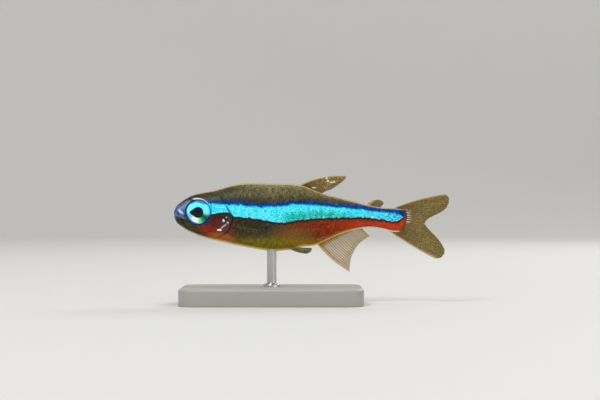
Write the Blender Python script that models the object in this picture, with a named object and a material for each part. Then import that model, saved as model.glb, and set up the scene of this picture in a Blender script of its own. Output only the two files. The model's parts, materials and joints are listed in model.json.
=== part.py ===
"""A life-size green neon tetra, swimming level to -X, held over a small display stand.

Run it with blender --background --python part.py, or from Blender's text editor.
The shapes are drawn in millimetres, with the fish's own origin at the tip of its snout, and
are brought to metres as each object is made. +Z is up and the fish's left side faces -Y.
"""

import math

import bmesh
import bpy
from mathutils import Matrix, Vector

MM = 0.001

# Driving dimensions of the fish, in millimetres
STANDARD_LENGTH = 24.0  # snout to the end of the tail stalk
TOTAL_LENGTH = 28.8  # snout to the tips of the tail fin
BODY_DEPTH = 7.0
BODY_WIDTH = 3.44
SEAM = 0.25  # clear gap between neighbouring pieces

# The body's outline: share of the standard length behind the snout, heights of back and belly
# over the level of the snout as shares of the body depth, and width as a share of the widest.
BODY_OUTLINE = (
    (0.000, 0.071, -0.140, 0.360),
    (0.025, 0.133, -0.194, 0.465),
    (0.050, 0.197, -0.256, 0.570),
    (0.083, 0.256, -0.319, 0.670),
    (0.125, 0.291, -0.377, 0.767),
    (0.180, 0.327, -0.424, 0.872),
    (0.238, 0.389, -0.474, 0.948),
    (0.292, 0.426, -0.511, 0.988),
    (0.375, 0.434, -0.562, 1.000),
    (0.438, 0.427, -0.585, 0.977),
    (0.517, 0.421, -0.556, 0.907),
    (0.554, 0.401, -0.522, 0.860),
    (0.613, 0.324, -0.500, 0.767),
    (0.650, 0.276, -0.448, 0.710),
    (0.690, 0.242, -0.384, 0.651),
    (0.740, 0.200, -0.318, 0.575),
    (0.783, 0.164, -0.276, 0.512),
    (0.850, 0.104, -0.241, 0.407),
    (0.904, 0.070, -0.260, 0.331),
    (0.946, 0.064, -0.300, 0.267),
    (1.000, 0.050, -0.305, 0.170),
)
# How sharply the section narrows to the ridge of the back and to the belly: 1 is an ellipse,
# less is fuller and more is keeled. Places are in millimetres behind the snout.
SECTION_SHARPNESS = (
    (0.0, 0.85, 0.90),
    (3.0, 0.80, 0.90),
    (7.0, 0.92, 0.95),
    (12.0, 0.95, 1.00),
    (17.0, 0.98, 1.22),
    (24.0, 1.00, 1.05),
)
NOSE_LEVEL = -0.15
NOSE_ROUND = 0.45  # length over which the blunt snout rounds off
WIDEST_SHARE = 0.54  # height of the widest line, from belly to back
RING_POINTS = 32

# Where the body is parted
GILL_EDGE = ((4.3, 4.2), (4.62, 2.4), (5.22, 1.0), (6.12, -0.52), (5.58, -2.0), (4.05, -2.97), (3.2, -4.4))
STALK_START = 19.5
STALK_END = STANDARD_LENGTH - 0.25
GILL_SWELL = 0.07  # how far the gill cover stands proud of the cheek

# Head
EYE_CENTRE = Vector((2.56, 1.05, -0.03))
EYE_RADII = Vector((1.22, 0.42, 1.22))
SOCKET_CLEARANCE = 0.25
MOUTH_FRONT = Vector((0.0, 0.0, -0.34))
MOUTH_CORNER = Vector((1.10, 0.0, -0.88))
MOUTH_SLIT = 0.10
LIP_RADIUS = 0.11
LIP_RISE = 0.12  # height of each lip's middle over or under the line of the mouth
LIP_SINK = 0.03
NOSTRILS = ((0.86, 0.70), (1.10, 0.86))
NOSTRIL_RADIUS = 0.12
CHEEK_LINE = ((4.20, 0.70), (4.42, -0.40), (4.20, -1.45), (3.45, -2.15), (2.35, -2.05))
CHEEK_GROOVE = 0.10  # radius of the groove along the rear edge of the cheek

# Fins: half thickness of membrane at the root and at the tip, and how much thicker the rays are
MEMBRANE_ROOT = 0.25
MEMBRANE_TIP = 0.12
RAY_SHARE = 1.30
RAY_FOOT = 0.24  # half width of a ray's ridge, as a share of the space from ray to ray
MEMBRANE_NOTCH = 0.03  # how far the membrane falls short of the ray tips
ROOT_SINK = 0.45  # how deep a fin starts below the skin before it is trimmed to it

# Display stand
BASE_SIZE = Vector((19.0, 11.0, 1.8))
BASE_CENTRE_X = 10.2  # behind the snout, under the fish's centre of weight
BASE_CORNER = 1.8
BASE_EDGE = 0.3
ROD_RADIUS = 0.5
FIN_TO_BASE = 1.5  # clear height under the lowest fin tip
LOWEST_FIN_TIP = -6.3

SNOUT_HEIGHT = BASE_SIZE.z + FIN_TO_BASE - LOWEST_FIN_TIP
SNOUT_X = -TOTAL_LENGTH / 2


def clear_scene():
    for obj in list(bpy.data.objects):
        bpy.data.objects.remove(obj, do_unlink=True)


def material(name, colour, roughness, metallic=0.0):
    made = bpy.data.materials.new(name)
    made.use_nodes = True
    shader = made.node_tree.nodes["Principled BSDF"]
    shader.inputs["Base Color"].default_value = (*colour, 1.0)
    shader.inputs["Roughness"].default_value = roughness
    shader.inputs["Metallic"].default_value = metallic
    made.diffuse_color = (*colour, 1.0)
    return made


def smooth_value(places, values, at):
    """A smooth curve through values at rising places, read at one place."""
    last = len(places) - 1
    span = next((i for i in range(last) if at <= places[i + 1]), last - 1)
    slopes = [(values[i + 1] - values[i]) / (places[i + 1] - places[i]) for i in range(last)]
    width = places[span + 1] - places[span]
    share = (at - places[span]) / width
    here = slopes[span]
    start = (slopes[span - 1] + here) / 2 if span > 0 else here
    end = (slopes[span + 1] + here) / 2 if span < last - 1 else here
    lift = share * share * (3 - 2 * share)
    bend_in = share * (1 - share) ** 2 * width * start
    bend_out = share * share * (share - 1) * width * end
    return values[span] + (values[span + 1] - values[span]) * lift + bend_in + bend_out


def smooth_path(points, share):
    """The point at a share of the length of a smooth line through points."""
    points = [Vector(p) for p in points]
    marks = [0.0]
    for first, second in zip(points, points[1:]):
        marks.append(marks[-1] + (second - first).length)
    at = share * marks[-1]
    return Vector([smooth_value(marks, [p[axis] for p in points], at) for axis in range(len(points[0]))])


def outline_at(x):
    """Back, belly and half width of the body, x behind the snout."""
    along = [row[0] * STANDARD_LENGTH for row in BODY_OUTLINE]
    back, belly, width = (smooth_value(along, [row[i] for row in BODY_OUTLINE], x) for i in (1, 2, 3))
    rounding = math.sqrt(1 - (1 - min(x / NOSE_ROUND, 1)) ** 2)
    return (
        NOSE_LEVEL + (back * BODY_DEPTH - NOSE_LEVEL) * rounding,
        NOSE_LEVEL + (belly * BODY_DEPTH - NOSE_LEVEL) * rounding,
        width * BODY_WIDTH / 2 * rounding,
    )


def widest_level(back, belly):
    return belly + WIDEST_SHARE * (back - belly)


def sharpness(x, upper):
    places = [row[0] for row in SECTION_SHARPNESS]
    return smooth_value(places, [row[1 if upper else 2] for row in SECTION_SHARPNESS], x)


def gill_swell(x, turn):
    """How far the gill cover stands out, fullest on the lower cheek and none over the nape."""
    along = max(0.0, min((x - 3.4) / 1.4, 1.0))
    side = max(0.0, math.sin(turn)) * (0.5 - 0.5 * math.cos(turn))
    return GILL_SWELL * along * side


def skin_point(x, turn, grow=0.0):
    """A point of the skin x behind the snout. turn runs from 0 at the ridge of the back to pi at the belly."""
    back, belly, half_width = outline_at(x)
    middle = widest_level(back, belly)
    reach = (back - middle if math.cos(turn) > 0 else middle - belly) + grow
    across = math.copysign(abs(math.sin(turn)) ** sharpness(x, math.cos(turn) > 0), math.sin(turn))
    return Vector((x, (half_width + grow) * across, middle + reach * math.cos(turn)))


def ring(x, grow=0.0, gills=False):
    points = []
    for step in range(RING_POINTS):
        turn = 2 * math.pi * step / RING_POINTS
        folded = turn if turn <= math.pi else 2 * math.pi - turn
        swell = gill_swell(x, folded) if gills else 0.0
        point = skin_point(x, turn, grow)
        point.y += math.copysign(swell, math.sin(turn)) if swell else 0.0
        points.append(point)
    return points


def new_object(name, mesh, look=None, parent=None):
    obj = bpy.data.objects.new(name, mesh)
    bpy.context.scene.collection.objects.link(obj)
    if look:
        mesh.materials.clear()
        mesh.materials.append(look)
    obj.parent = parent
    return obj


def mesh_of(name, bm):
    bmesh.ops.recalc_face_normals(bm, faces=bm.faces)
    mesh = bpy.data.meshes.new(name)
    bm.to_mesh(mesh)
    bm.free()
    return mesh


def lofted(name, rings, tip=None):
    """A closed mesh through rings of points, with flat ends, or drawn to a tip before the first ring."""
    bm = bmesh.new()
    loops = [[bm.verts.new(point) for point in points] for points in rings]
    for first, second in zip(loops, loops[1:]):
        for i, corner in enumerate(first):
            after = (i + 1) % len(first)
            bm.faces.new((corner, first[after], second[after], second[i]))
    bm.faces.new(loops[-1])
    if tip is None:
        bm.faces.new(loops[0])
    else:
        peak = bm.verts.new(tip)
        for i, corner in enumerate(loops[0]):
            bm.faces.new((peak, loops[0][(i + 1) % len(loops[0])], corner))
    return new_object(name, mesh_of(name, bm))


def evenly(start, end, count):
    return [start + (end - start) * i / (count - 1) for i in range(count)]


def prism(name, outline, half_width):
    """An outline in the side view, drawn out to both sides."""
    sides = [[Vector((x, y, z)) for x, z in outline] for y in (-half_width, half_width)]
    return lofted(name, sides)


def boolean(target, operation, tools):
    """Joins, cuts or keeps the target with closed tools, which are then removed."""
    group = bpy.data.collections.new("tools")
    for tool in tools:
        group.objects.link(tool)
    modifier = target.modifiers.new(operation.lower(), "BOOLEAN")
    modifier.operand_type = "COLLECTION"
    modifier.operation = operation
    modifier.solver = "EXACT"
    modifier.collection = group
    graph = bpy.context.evaluated_depsgraph_get()
    result = bpy.data.meshes.new_from_object(target.evaluated_get(graph))
    target.modifiers.clear()
    target.data = result
    for tool in tools:
        bpy.data.objects.remove(tool, do_unlink=True)
    bpy.data.collections.remove(group)


def keep_largest(obj):
    """Leaves only the largest connected surface of a mesh."""
    bm = bmesh.new()
    bm.from_mesh(obj.data)
    left, shells = set(bm.verts), []
    while left:
        shell, edge = set(), [left.pop()]
        while edge:
            vert = edge.pop()
            shell.add(vert)
            linked = {link.other_vert(vert) for link in vert.link_edges} & left
            left -= linked
            edge.extend(linked)
        shells.append(shell)
    largest = max(shells, key=len)
    bmesh.ops.delete(bm, geom=[v for v in bm.verts if v not in largest], context="VERTS")
    bm.to_mesh(obj.data)
    bm.free()


def finish(obj, look, parent, sharp_degrees=40):
    """Gives a piece its look, smooth shading and parent, and brings it from millimetres to metres."""
    obj.data.transform(Matrix.Scale(MM, 4))
    obj.data.materials.clear()
    obj.data.materials.append(look)
    obj.data.shade_smooth()
    obj.data.set_sharp_from_angle(angle=math.radians(sharp_degrees))
    obj.parent = parent
    return obj


def gill_outline(offset):
    """The side view of the head, closed in front of the snout, its rear edge moved back by offset."""
    edge = [smooth_path(GILL_EDGE, share) for share in evenly(0, 1, 19)]
    moved = []
    for i, point in enumerate(edge):
        run = edge[min(i + 1, len(edge) - 1)] - edge[max(i - 1, 0)]
        outward = Vector((-run.y, run.x)).normalized()
        moved.append(point + outward * offset)
    return [(-1.0, moved[0].y), *[tuple(p) for p in moved], (-1.0, moved[-1].y)]


def ellipsoid(name, centre, radii, segments=18, rings=10):
    bm = bmesh.new()
    bmesh.ops.create_uvsphere(bm, u_segments=segments, v_segments=rings, radius=1.0)
    # The poles lie on the eye's own axis, across the head.
    turned = Matrix.Rotation(math.pi / 2, 4, "X")
    bmesh.ops.transform(bm, matrix=Matrix.Translation(centre) @ Matrix.Diagonal((*radii, 1)) @ turned, verts=bm.verts)
    return new_object(name, mesh_of(name, bm))


def on_side(point, side):
    """A point of the left side, y positive outward, placed on side -1 (left) or 1 (right)."""
    return Vector((point[0], side * point[1], point[2]))


def mouth_level(x):
    return MOUTH_FRONT.z + (MOUTH_CORNER.z - MOUTH_FRONT.z) * x / MOUTH_CORNER.x


def turn_at(x, z):
    """The turn round the section at which the skin of the right side is at a height z."""
    back, belly, _ = outline_at(x)
    middle = widest_level(back, belly)
    reach = back - middle if z > middle else middle - belly
    turn = math.acos(min(abs(z - middle) / reach, 1.0))
    return turn if z > middle else math.pi - turn


def side_width(x, z, gills=False):
    """Half width of the body at a height z."""
    turn = turn_at(x, z)
    return skin_point(x, turn).y + (gill_swell(x, turn) if gills else 0.0)


def tube(name, path, radius, slimming=None):
    """A round bar along a line of points, as a closed mesh. slimming gives its share of radius at each point."""
    curve = bpy.data.curves.new(name, "CURVE")
    curve.dimensions = "3D"
    curve.bevel_depth = radius
    curve.bevel_resolution = 1
    curve.use_fill_caps = True
    spline = curve.splines.new("POLY")
    spline.points.add(len(path) - 1)
    for i, place in enumerate(path):
        spline.points[i].co = (*place, 1)
        spline.points[i].radius = slimming[i] if slimming else 1
    drawn = bpy.data.objects.new(name, curve)
    bpy.context.scene.collection.objects.link(drawn)
    graph = bpy.context.evaluated_depsgraph_get()
    mesh = bpy.data.meshes.new_from_object(drawn.evaluated_get(graph))
    bpy.data.objects.remove(drawn)
    bm = bmesh.new()
    bm.from_mesh(mesh)
    bmesh.ops.remove_doubles(bm, verts=bm.verts, dist=0.001)
    return new_object(name, mesh_of(name, bm))


def lip(name, rise):
    """A soft ridge along one side of the mouth, from corner to corner round the snout."""
    points, slimming = [], []
    for x in evenly(MOUTH_CORNER.x, 0.12, 7):
        fade = 1 - 0.65 * (x / MOUTH_CORNER.x) ** 3
        level = mouth_level(x) + rise * fade
        points.append(Vector((x, side_width(x, level) - LIP_SINK, level)))
        slimming.append(fade)
    points.append(Vector((0.05, 0.0, mouth_level(0) + rise)))
    path = [on_side(p, -1) for p in points[:-1]] + [on_side(p, 1) for p in reversed(points)]
    return tube(name, path, LIP_RADIUS, [*slimming, 1, *reversed(slimming)])


def cheek_groove(side):
    """A bar sunk half into the skin along the rear edge of the cheek, which cuts its groove."""
    path = []
    for share in evenly(0, 1, 10):
        x, z = smooth_path(CHEEK_LINE, share)
        path.append(Vector((x, side * side_width(x, z, gills=True), z)))
    return tube("cheek_groove", path, CHEEK_GROOVE)


def mouth_cutter():
    """A thin plate along the line of the mouth, through the whole width of the snout."""
    front = Vector((-0.6, mouth_level(-0.6)))
    corner = Vector((MOUTH_CORNER.x, mouth_level(MOUTH_CORNER.x)))
    half = Vector((0, MOUTH_SLIT / 2))
    return prism("mouth_cutter", [tuple(front + half), tuple(corner), tuple(front - half)], 2.0)


def head(look, parent):
    stations = [0.03, 0.09, 0.18, 0.30, 0.45, 0.65, 0.90, *evenly(1.2, 6.6, 15)]
    tip = Vector((0.0, 0.0, NOSE_LEVEL))
    solid = lofted("head", [ring(x, gills=True) for x in stations], tip)
    boolean(solid, "UNION", [lip("upper_lip", LIP_RISE), lip("lower_lip", -LIP_RISE)])
    keep_largest(solid)
    boolean(solid, "INTERSECT", [prism("gill_outline", gill_outline(0.0), 4.0)])
    cutters = [mouth_cutter()]
    for side in (-1, 1):
        socket = EYE_RADII + Vector((SOCKET_CLEARANCE,) * 3)
        cutters.append(ellipsoid("socket", on_side(EYE_CENTRE, side), socket))
        cutters.append(cheek_groove(side))
        for x, z in NOSTRILS:
            pit = Vector((x, side * side_width(x, z), z))
            cutters.append(ellipsoid("nostril", pit, Vector((NOSTRIL_RADIUS,) * 3), 8, 6))
    boolean(solid, "DIFFERENCE", cutters)
    keep_largest(solid)
    return finish(solid, look, parent)


def trunk(look, parent):
    solid = lofted("trunk", [ring(x) for x in evenly(3.4, STALK_START - SEAM / 2, 25)])
    boolean(solid, "DIFFERENCE", [prism("gill_outline", gill_outline(SEAM), 4.0)])
    keep_largest(solid)
    return finish(solid, look, parent)


def tail_stalk(look, parent):
    solid = lofted("tail_stalk", [ring(x) for x in evenly(STALK_START + SEAM / 2, STALK_END, 9)])
    return finish(solid, look, parent)


def eye(name, side, look, parent):
    return finish(ellipsoid(name, on_side(EYE_CENTRE, side), EYE_RADII), look, parent)


def skin_clearance():
    """The body grown by the seam, which trims each fin's root and the rod's top to the skin."""
    return lofted("skin_clearance", [ring(x, SEAM) for x in evenly(3.0, STALK_END + SEAM, 40)])


def fin(name, roots, margin, bows, rays, rows, look, parent, flat=None, ridges=True):
    """A fin of rays and membrane, trimmed to the skin.

    roots and margin are points of its base and its outer edge, first ray to last. bows are the
    sideways pulls on the middle of the first and the last ray. flat is the way the membrane
    faces at every ray, or None where it follows from the rays themselves.
    """
    columns = []
    for i in range(rays):
        middle, foot = (i + 0.5) / rays, RAY_FOOT / rays
        left = 0.0 if i == 0 else middle - foot
        right = 1.0 if i == rays - 1 else middle + foot
        columns += [(left, False), (middle, True), (right, False)]
    bm = bmesh.new()
    faces = {1: [], -1: []}
    for share, crest in columns:
        root, tip = smooth_path(roots, share), smooth_path(margin, share)
        pull = (root + tip) / 2 + Vector(bows[0]).lerp(Vector(bows[1]), share)
        across = smooth_path(margin, min(share + 0.02, 1)) - smooth_path(margin, max(share - 0.02, 0))
        facing = Vector(flat) if flat else across.cross(tip - root).normalized()
        reach = 1.0 if crest or not ridges else 1 - MEMBRANE_NOTCH
        strips = {1: [], -1: []}
        for row in range(rows + 1):
            u = reach * row / rows
            place = root * (1 - u) ** 2 + pull * 2 * u * (1 - u) + tip * u * u
            half = (MEMBRANE_ROOT + (MEMBRANE_TIP - MEMBRANE_ROOT) * u * u) * (RAY_SHARE if crest and ridges else 1)
            for side, strip in strips.items():
                strip.append(bm.verts.new(place + facing * half * side))
        for side, strip in strips.items():
            faces[side].append(strip)
    for side in (1, -1):
        for left, right in zip(faces[side], faces[side][1:]):
            for i in range(rows):
                bm.faces.new((left[i], left[i + 1], right[i + 1]))
                bm.faces.new((left[i], right[i + 1], right[i]))
    near, far = faces[1], faces[-1]
    for end in (0, -1):
        for i in range(rows):
            bm.faces.new((near[end][i], near[end][i + 1], far[end][i + 1], far[end][i]))
        for i in range(len(near) - 1):
            bm.faces.new((near[i][end], near[i + 1][end], far[i + 1][end], far[i][end]))
    solid = new_object(name, mesh_of(name, bm))
    boolean(solid, "DIFFERENCE", [skin_clearance()])
    keep_largest(solid)
    return finish(solid, look, parent)


def ridge_points(start, end, sink, count=4):
    """Points along the ridge of the back, sunk below it."""
    return [(x, 0, outline_at(x)[0] - sink) for x in evenly(start, end, count)]


def keel_points(start, end, sink, count=4):
    """Points along the belly line, sunk above it."""
    return [(x, 0, outline_at(x)[1] + sink) for x in evenly(start, end, count)]


SIDEWAYS = (0, 1, 0)


def dorsal_fin(look, parent):
    """Half folded: the first rays sweep back, and the last lie along the back."""
    margin = ((17.98, 0, 3.76), (17.65, 0, 3.30), (17.05, 0, 2.80), (16.40, 0, 2.35))
    bows = ((-0.20, 0, 0.56), (0, 0, 0.15))
    return fin("dorsal_fin", ridge_points(12.75, 15.2, ROOT_SINK), margin, bows, 11, 6, look, parent, SIDEWAYS)


def adipose_fin(look, parent):
    margin = ((20.95, 0, 1.24), (21.35, 0, 1.28), (21.75, 0, 1.14), (21.90, 0, 0.90))
    bows = ((-0.02, 0, 0.12), (0.10, 0, 0.05))
    roots = ridge_points(20.0, 21.35, 0.3)
    return fin("adipose_fin", roots, margin, bows, 2, 4, look, parent, SIDEWAYS, ridges=False)


def anal_fin(look, parent):
    """Its first rays are long, and the outer edge curves in to the short last ones."""
    margin = (
        (18.35, 0, -6.26),
        (18.42, 0, -5.30),
        (18.75, 0, -4.20),
        (19.45, 0, -3.20),
        (20.45, 0, -2.50),
    )
    bows = ((-0.30, 0, -0.40), (0, 0, -0.05))
    return fin("anal_fin", keel_points(14.8, 19.3, ROOT_SINK), margin, bows, 16, 5, look, parent, SIDEWAYS)


def tail_fin_upper(look, parent):
    margin = (
        (28.28, 0, 1.84),
        (28.64, 0, 1.68),
        (28.78, 0, 1.32),
        (28.70, 0, 0.86),
        (28.42, 0, 0.36),
        (27.80, 0, -0.08),
        (27.05, 0, -0.44),
        (26.42, 0, -0.84),
        (26.28, 0, -1.06),
    )
    roots = ((22.9, 0, 0.15), (23.3, 0, -0.30), (23.5, 0, -0.73))
    bows = ((0, 0, 0.55), (0, 0, 0))
    return fin("tail_fin_upper", roots, margin, bows, 9, 7, look, parent, SIDEWAYS)


def tail_fin_lower(look, parent):
    margin = (
        (26.28, 0, -1.36),
        (26.75, 0, -1.95),
        (27.40, 0, -2.60),
        (28.00, 0, -3.35),
        (28.32, 0, -4.10),
        (28.17, 0, -4.54),
        (27.86, 0, -4.80),
        (27.33, 0, -4.90),
    )
    roots = ((23.5, 0, -1.03), (23.2, 0, -1.45), (22.6, 0, -1.85))
    bows = ((0, 0, 0), (0, 0, -0.35))
    return fin("tail_fin_lower", roots, margin, bows, 9, 7, look, parent, SIDEWAYS)


def pelvic_fin(name, side, look, parent):
    """Folded back under the belly, its outer edge lowest."""
    roots = ((11.15, 0.85, -3.20), (11.65, 0.35, -3.45))
    margin = ((13.90, 1.15, -4.36), (14.30, 1.00, -4.18), (14.35, 0.85, -3.96))
    bows = ((-0.1, 0.25, -0.50), (-0.1, 0.15, -0.30))
    roots, margin, bows = ([on_side(p, side) for p in points] for points in (roots, margin, bows))
    return fin(name, roots, margin, bows, 6, 5, look, parent)


def pectoral_fin(name, side, look, parent):
    """Held out from the flank behind the gill cover and swept back."""
    roots = ((5.85, 1.05, -1.25), (5.65, 0.95, -2.05))
    margin = ((9.20, 2.65, -1.90), (9.25, 2.60, -2.40), (8.85, 2.45, -2.90), (8.20, 2.25, -3.15))
    bows = ((-0.3, 0.55, 0.1), (-0.2, 0.45, -0.1))
    roots, margin, bows = ([on_side(p, side) for p in points] for points in (roots, margin, bows))
    return fin(name, roots, margin, bows, 8, 5, look, parent)


def stand_base(look):
    bm = bmesh.new()
    bmesh.ops.create_cube(bm, size=1.0)
    bmesh.ops.scale(bm, vec=BASE_SIZE, verts=bm.verts)
    bmesh.ops.translate(bm, vec=(SNOUT_X + BASE_CENTRE_X, 0, BASE_SIZE.z / 2), verts=bm.verts)
    corners = [e for e in bm.edges if abs(e.verts[0].co.z - e.verts[1].co.z) > BASE_SIZE.z / 2]
    bmesh.ops.bevel(bm, geom=corners, offset=BASE_CORNER, segments=6, profile=0.5, affect="EDGES")
    top = [e for e in bm.edges if min(v.co.z for v in e.verts) > BASE_SIZE.z - 0.001]
    bmesh.ops.bevel(bm, geom=top, offset=BASE_EDGE, segments=2, profile=0.5, affect="EDGES")
    return finish(new_object("stand_base", mesh_of("stand_base", bm)), look, None)


def stand_rod(look, parent):
    """A thin rod from the base up to the belly, built in the fish's frame and trimmed to its skin."""
    foot = BASE_SIZE.z - SNOUT_HEIGHT + SEAM
    sides = 16
    rings = []
    for level in (foot, -3.0):
        turns = [2 * math.pi * i / sides for i in range(sides)]
        rings.append(
            [Vector((BASE_CENTRE_X + ROD_RADIUS * math.cos(t), ROD_RADIUS * math.sin(t), level)) for t in turns]
        )
    rod = lofted("stand_rod", rings)
    boolean(rod, "DIFFERENCE", [skin_clearance()])
    keep_largest(rod)
    return finish(rod, look, parent)


def build():
    clear_scene()
    fish = bpy.data.objects.new("fish_frame", None)
    fish.location = Vector((SNOUT_X, 0, SNOUT_HEIGHT)) * MM
    bpy.context.scene.collection.objects.link(fish)

    skin = material("skin", (0.20, 0.19, 0.12), 0.35)
    red_skin = material("red_skin", (0.45, 0.05, 0.02), 0.35)
    eye_look = material("eye", (0.05, 0.55, 0.70), 0.10)
    membrane = material("membrane", (0.35, 0.32, 0.20), 0.30)
    base_look = material("stand_resin", (0.62, 0.61, 0.59), 0.45)
    rod_look = material("stand_steel", (0.60, 0.60, 0.60), 0.30, 1.0)

    head(skin, fish)
    trunk(skin, fish)
    tail_stalk(red_skin, fish)
    dorsal_fin(membrane, fish)
    adipose_fin(membrane, fish)
    anal_fin(membrane, fish)
    tail_fin_upper(membrane, fish)
    tail_fin_lower(membrane, fish)
    for word, side in (("left", -1), ("right", 1)):
        eye(f"eye_{word}", side, eye_look, fish)
        pelvic_fin(f"pelvic_fin_{word}", side, membrane, fish)
        pectoral_fin(f"pectoral_fin_{word}", side, membrane, fish)
    stand_base(base_look)
    stand_rod(rod_look, fish)


build()
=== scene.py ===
"""The finished looks of a life-size green neon tetra, swimming over a small display stand.

Laid out as a Blender add-on and run as a script. The fish's shapes are worked out in
millimetres from the tip of its snout, with +X towards the tail and its left side at -Y.
"""

import json
import math
from functools import partialmethod

import bmesh
import bpy
import numpy as np
from bpy.props import FloatProperty, FloatVectorProperty, IntProperty, PointerProperty
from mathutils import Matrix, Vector

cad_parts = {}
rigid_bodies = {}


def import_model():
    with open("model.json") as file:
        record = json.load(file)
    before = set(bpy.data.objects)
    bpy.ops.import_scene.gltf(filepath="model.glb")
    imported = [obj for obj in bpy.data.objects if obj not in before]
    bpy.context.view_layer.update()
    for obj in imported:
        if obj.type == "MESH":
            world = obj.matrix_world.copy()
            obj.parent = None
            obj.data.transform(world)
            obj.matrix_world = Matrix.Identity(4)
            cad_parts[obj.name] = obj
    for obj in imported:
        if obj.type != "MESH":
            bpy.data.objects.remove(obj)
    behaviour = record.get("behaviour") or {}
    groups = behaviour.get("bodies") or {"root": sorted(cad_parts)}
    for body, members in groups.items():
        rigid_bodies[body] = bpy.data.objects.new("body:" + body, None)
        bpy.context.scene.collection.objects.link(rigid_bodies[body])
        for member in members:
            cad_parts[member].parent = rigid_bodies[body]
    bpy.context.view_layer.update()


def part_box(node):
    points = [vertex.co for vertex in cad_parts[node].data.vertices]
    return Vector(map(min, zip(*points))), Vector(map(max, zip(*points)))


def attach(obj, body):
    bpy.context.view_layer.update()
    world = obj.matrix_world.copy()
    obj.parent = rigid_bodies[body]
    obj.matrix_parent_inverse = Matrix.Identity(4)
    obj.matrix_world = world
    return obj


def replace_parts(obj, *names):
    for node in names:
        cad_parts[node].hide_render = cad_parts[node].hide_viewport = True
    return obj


bl_info = {
    "name": "Green Neon Tetra",
    "version": (1, 0, 0),
    "blender": (4, 5, 0),
    "location": "View3D > Sidebar > Neon Tetra",
    "description": "Builds a life-size green neon tetra over a display stand, and a stage for it",
    "category": "Add Mesh",
}

for leftover in list(bpy.data.objects):
    bpy.data.objects.remove(leftover, do_unlink=True)
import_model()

MM = 0.001

# The stand, from the frame, and the tip of the snout, placed from the stand as the solids are
BASE_LOW, BASE_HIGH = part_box("stand_base")
ROD_LOW, ROD_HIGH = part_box("stand_rod")
SNOUT_AHEAD_OF_BASE = 10.2
SNOUT_OVER_BASE = 7.8
SNOUT = np.array(
    ((BASE_LOW.x + BASE_HIGH.x) / 2 - SNOUT_AHEAD_OF_BASE * MM, 0.0, BASE_HIGH.z + SNOUT_OVER_BASE * MM)
)

# The body's outline, as the solids have it: share of the standard length behind the snout,
# heights of back and belly as shares of the body depth, and share of the body width
STANDARD_LENGTH = 24.0
BODY_DEPTH = 7.0
BODY_WIDTH = 3.44
BODY_OUTLINE = np.array((
    (0.000, 0.071, -0.140, 0.360), (0.025, 0.133, -0.194, 0.465), (0.050, 0.197, -0.256, 0.570),
    (0.083, 0.256, -0.319, 0.670), (0.125, 0.291, -0.377, 0.767), (0.180, 0.327, -0.424, 0.872),
    (0.238, 0.389, -0.474, 0.948), (0.292, 0.426, -0.511, 0.988), (0.375, 0.434, -0.562, 1.000),
    (0.438, 0.427, -0.585, 0.977), (0.517, 0.421, -0.556, 0.907), (0.554, 0.401, -0.522, 0.860),
    (0.613, 0.324, -0.500, 0.767), (0.650, 0.276, -0.448, 0.710), (0.690, 0.242, -0.384, 0.651),
    (0.740, 0.200, -0.318, 0.575), (0.783, 0.164, -0.276, 0.512), (0.850, 0.104, -0.241, 0.407),
    (0.904, 0.070, -0.260, 0.331), (0.946, 0.064, -0.300, 0.267), (1.000, 0.050, -0.305, 0.170),
))
# Millimetres behind the snout, and how sharply the section narrows to the back and to the belly
SECTION_SHARPNESS = np.array((
    (0.0, 0.85, 0.90), (3.0, 0.80, 0.90), (7.0, 0.92, 0.95),
    (12.0, 0.95, 1.00), (17.0, 0.98, 1.22), (24.0, 1.00, 1.05),
))
NOSE_LEVEL = -0.15
NOSE_ROUND = 0.45
WIDEST_SHARE = 0.54
TAIL_CLOSING = 23.4  # where the flesh starts to thin out between the rays of the tail fin
SKIN_END = 24.35
TAIL_BEND_START = 22.6
TAIL_ROUNDING = 0.6  # how much further the flesh reaches at the stripe than at its lower corner
TAIL_FARTHEST = 0.35  # cosine of the turn where the flesh reaches farthest
COAT_DEPTH = 0.04  # how far the skin lies inside the tips of the scales
BACK, BELLY = 0, 1

# Head
EYE_X, EYE_OUT, EYE_Z = 2.58, 1.02, -0.03
EYE_RADIUS = 1.27
EYE_BULGE = 0.46
EYE_DEPTH = 0.34
SOCKET_FLOOR = 0.62
PUPIL_RADIUS = 0.575
PUPIL_POINT = 0.30  # how far the pupil's front point reaches past its round part
PUPIL_POINT_WIDTH = 0.36
MOUTH_FRONT = -0.34
MOUTH_CORNER = (1.10, -0.88)
NOSTRILS = ((0.86, 0.70), (1.10, 0.86))
CHEEK_LINE = ((4.20, 0.70), (4.42, -0.40), (4.20, -1.45), (3.45, -2.15), (2.35, -2.05))
GILL_EDGE = ((4.3, 4.2), (4.62, 2.4), (5.22, 1.0), (6.12, -0.52), (5.58, -2.0), (4.05, -2.97), (3.2, -4.4))
GILL_SWELL = 0.07
HEAD_END = 7.0

# Scales and fins
FIRST_SCALE = 4.3
TABLE_START = 3.0  # where the table of the scales' rows begins
SCALE_THICKNESS = 0.011
SCALE_FRONT = 0.52  # how far a scale reaches ahead of its root, as a share of its length
SCALE_REAR = 0.66
GILL_GAP = 0.24  # from the gill cover's edge to the first scales
SCALE_GRID = (9, 11)  # points along and across a scale
POINTS_PER_RAY = 14
JOINT_LENGTH = 0.30
WEB_WAVE = 0.035  # how far the web swings out between the rays
WEB_NOTCH = 0.016  # how far the web falls short of the rays' tips, as a share of their length


def length_property(name, description, millimetres):
    return FloatProperty(name=name, description=description, default=millimetres * MM, unit="LENGTH")


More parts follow.
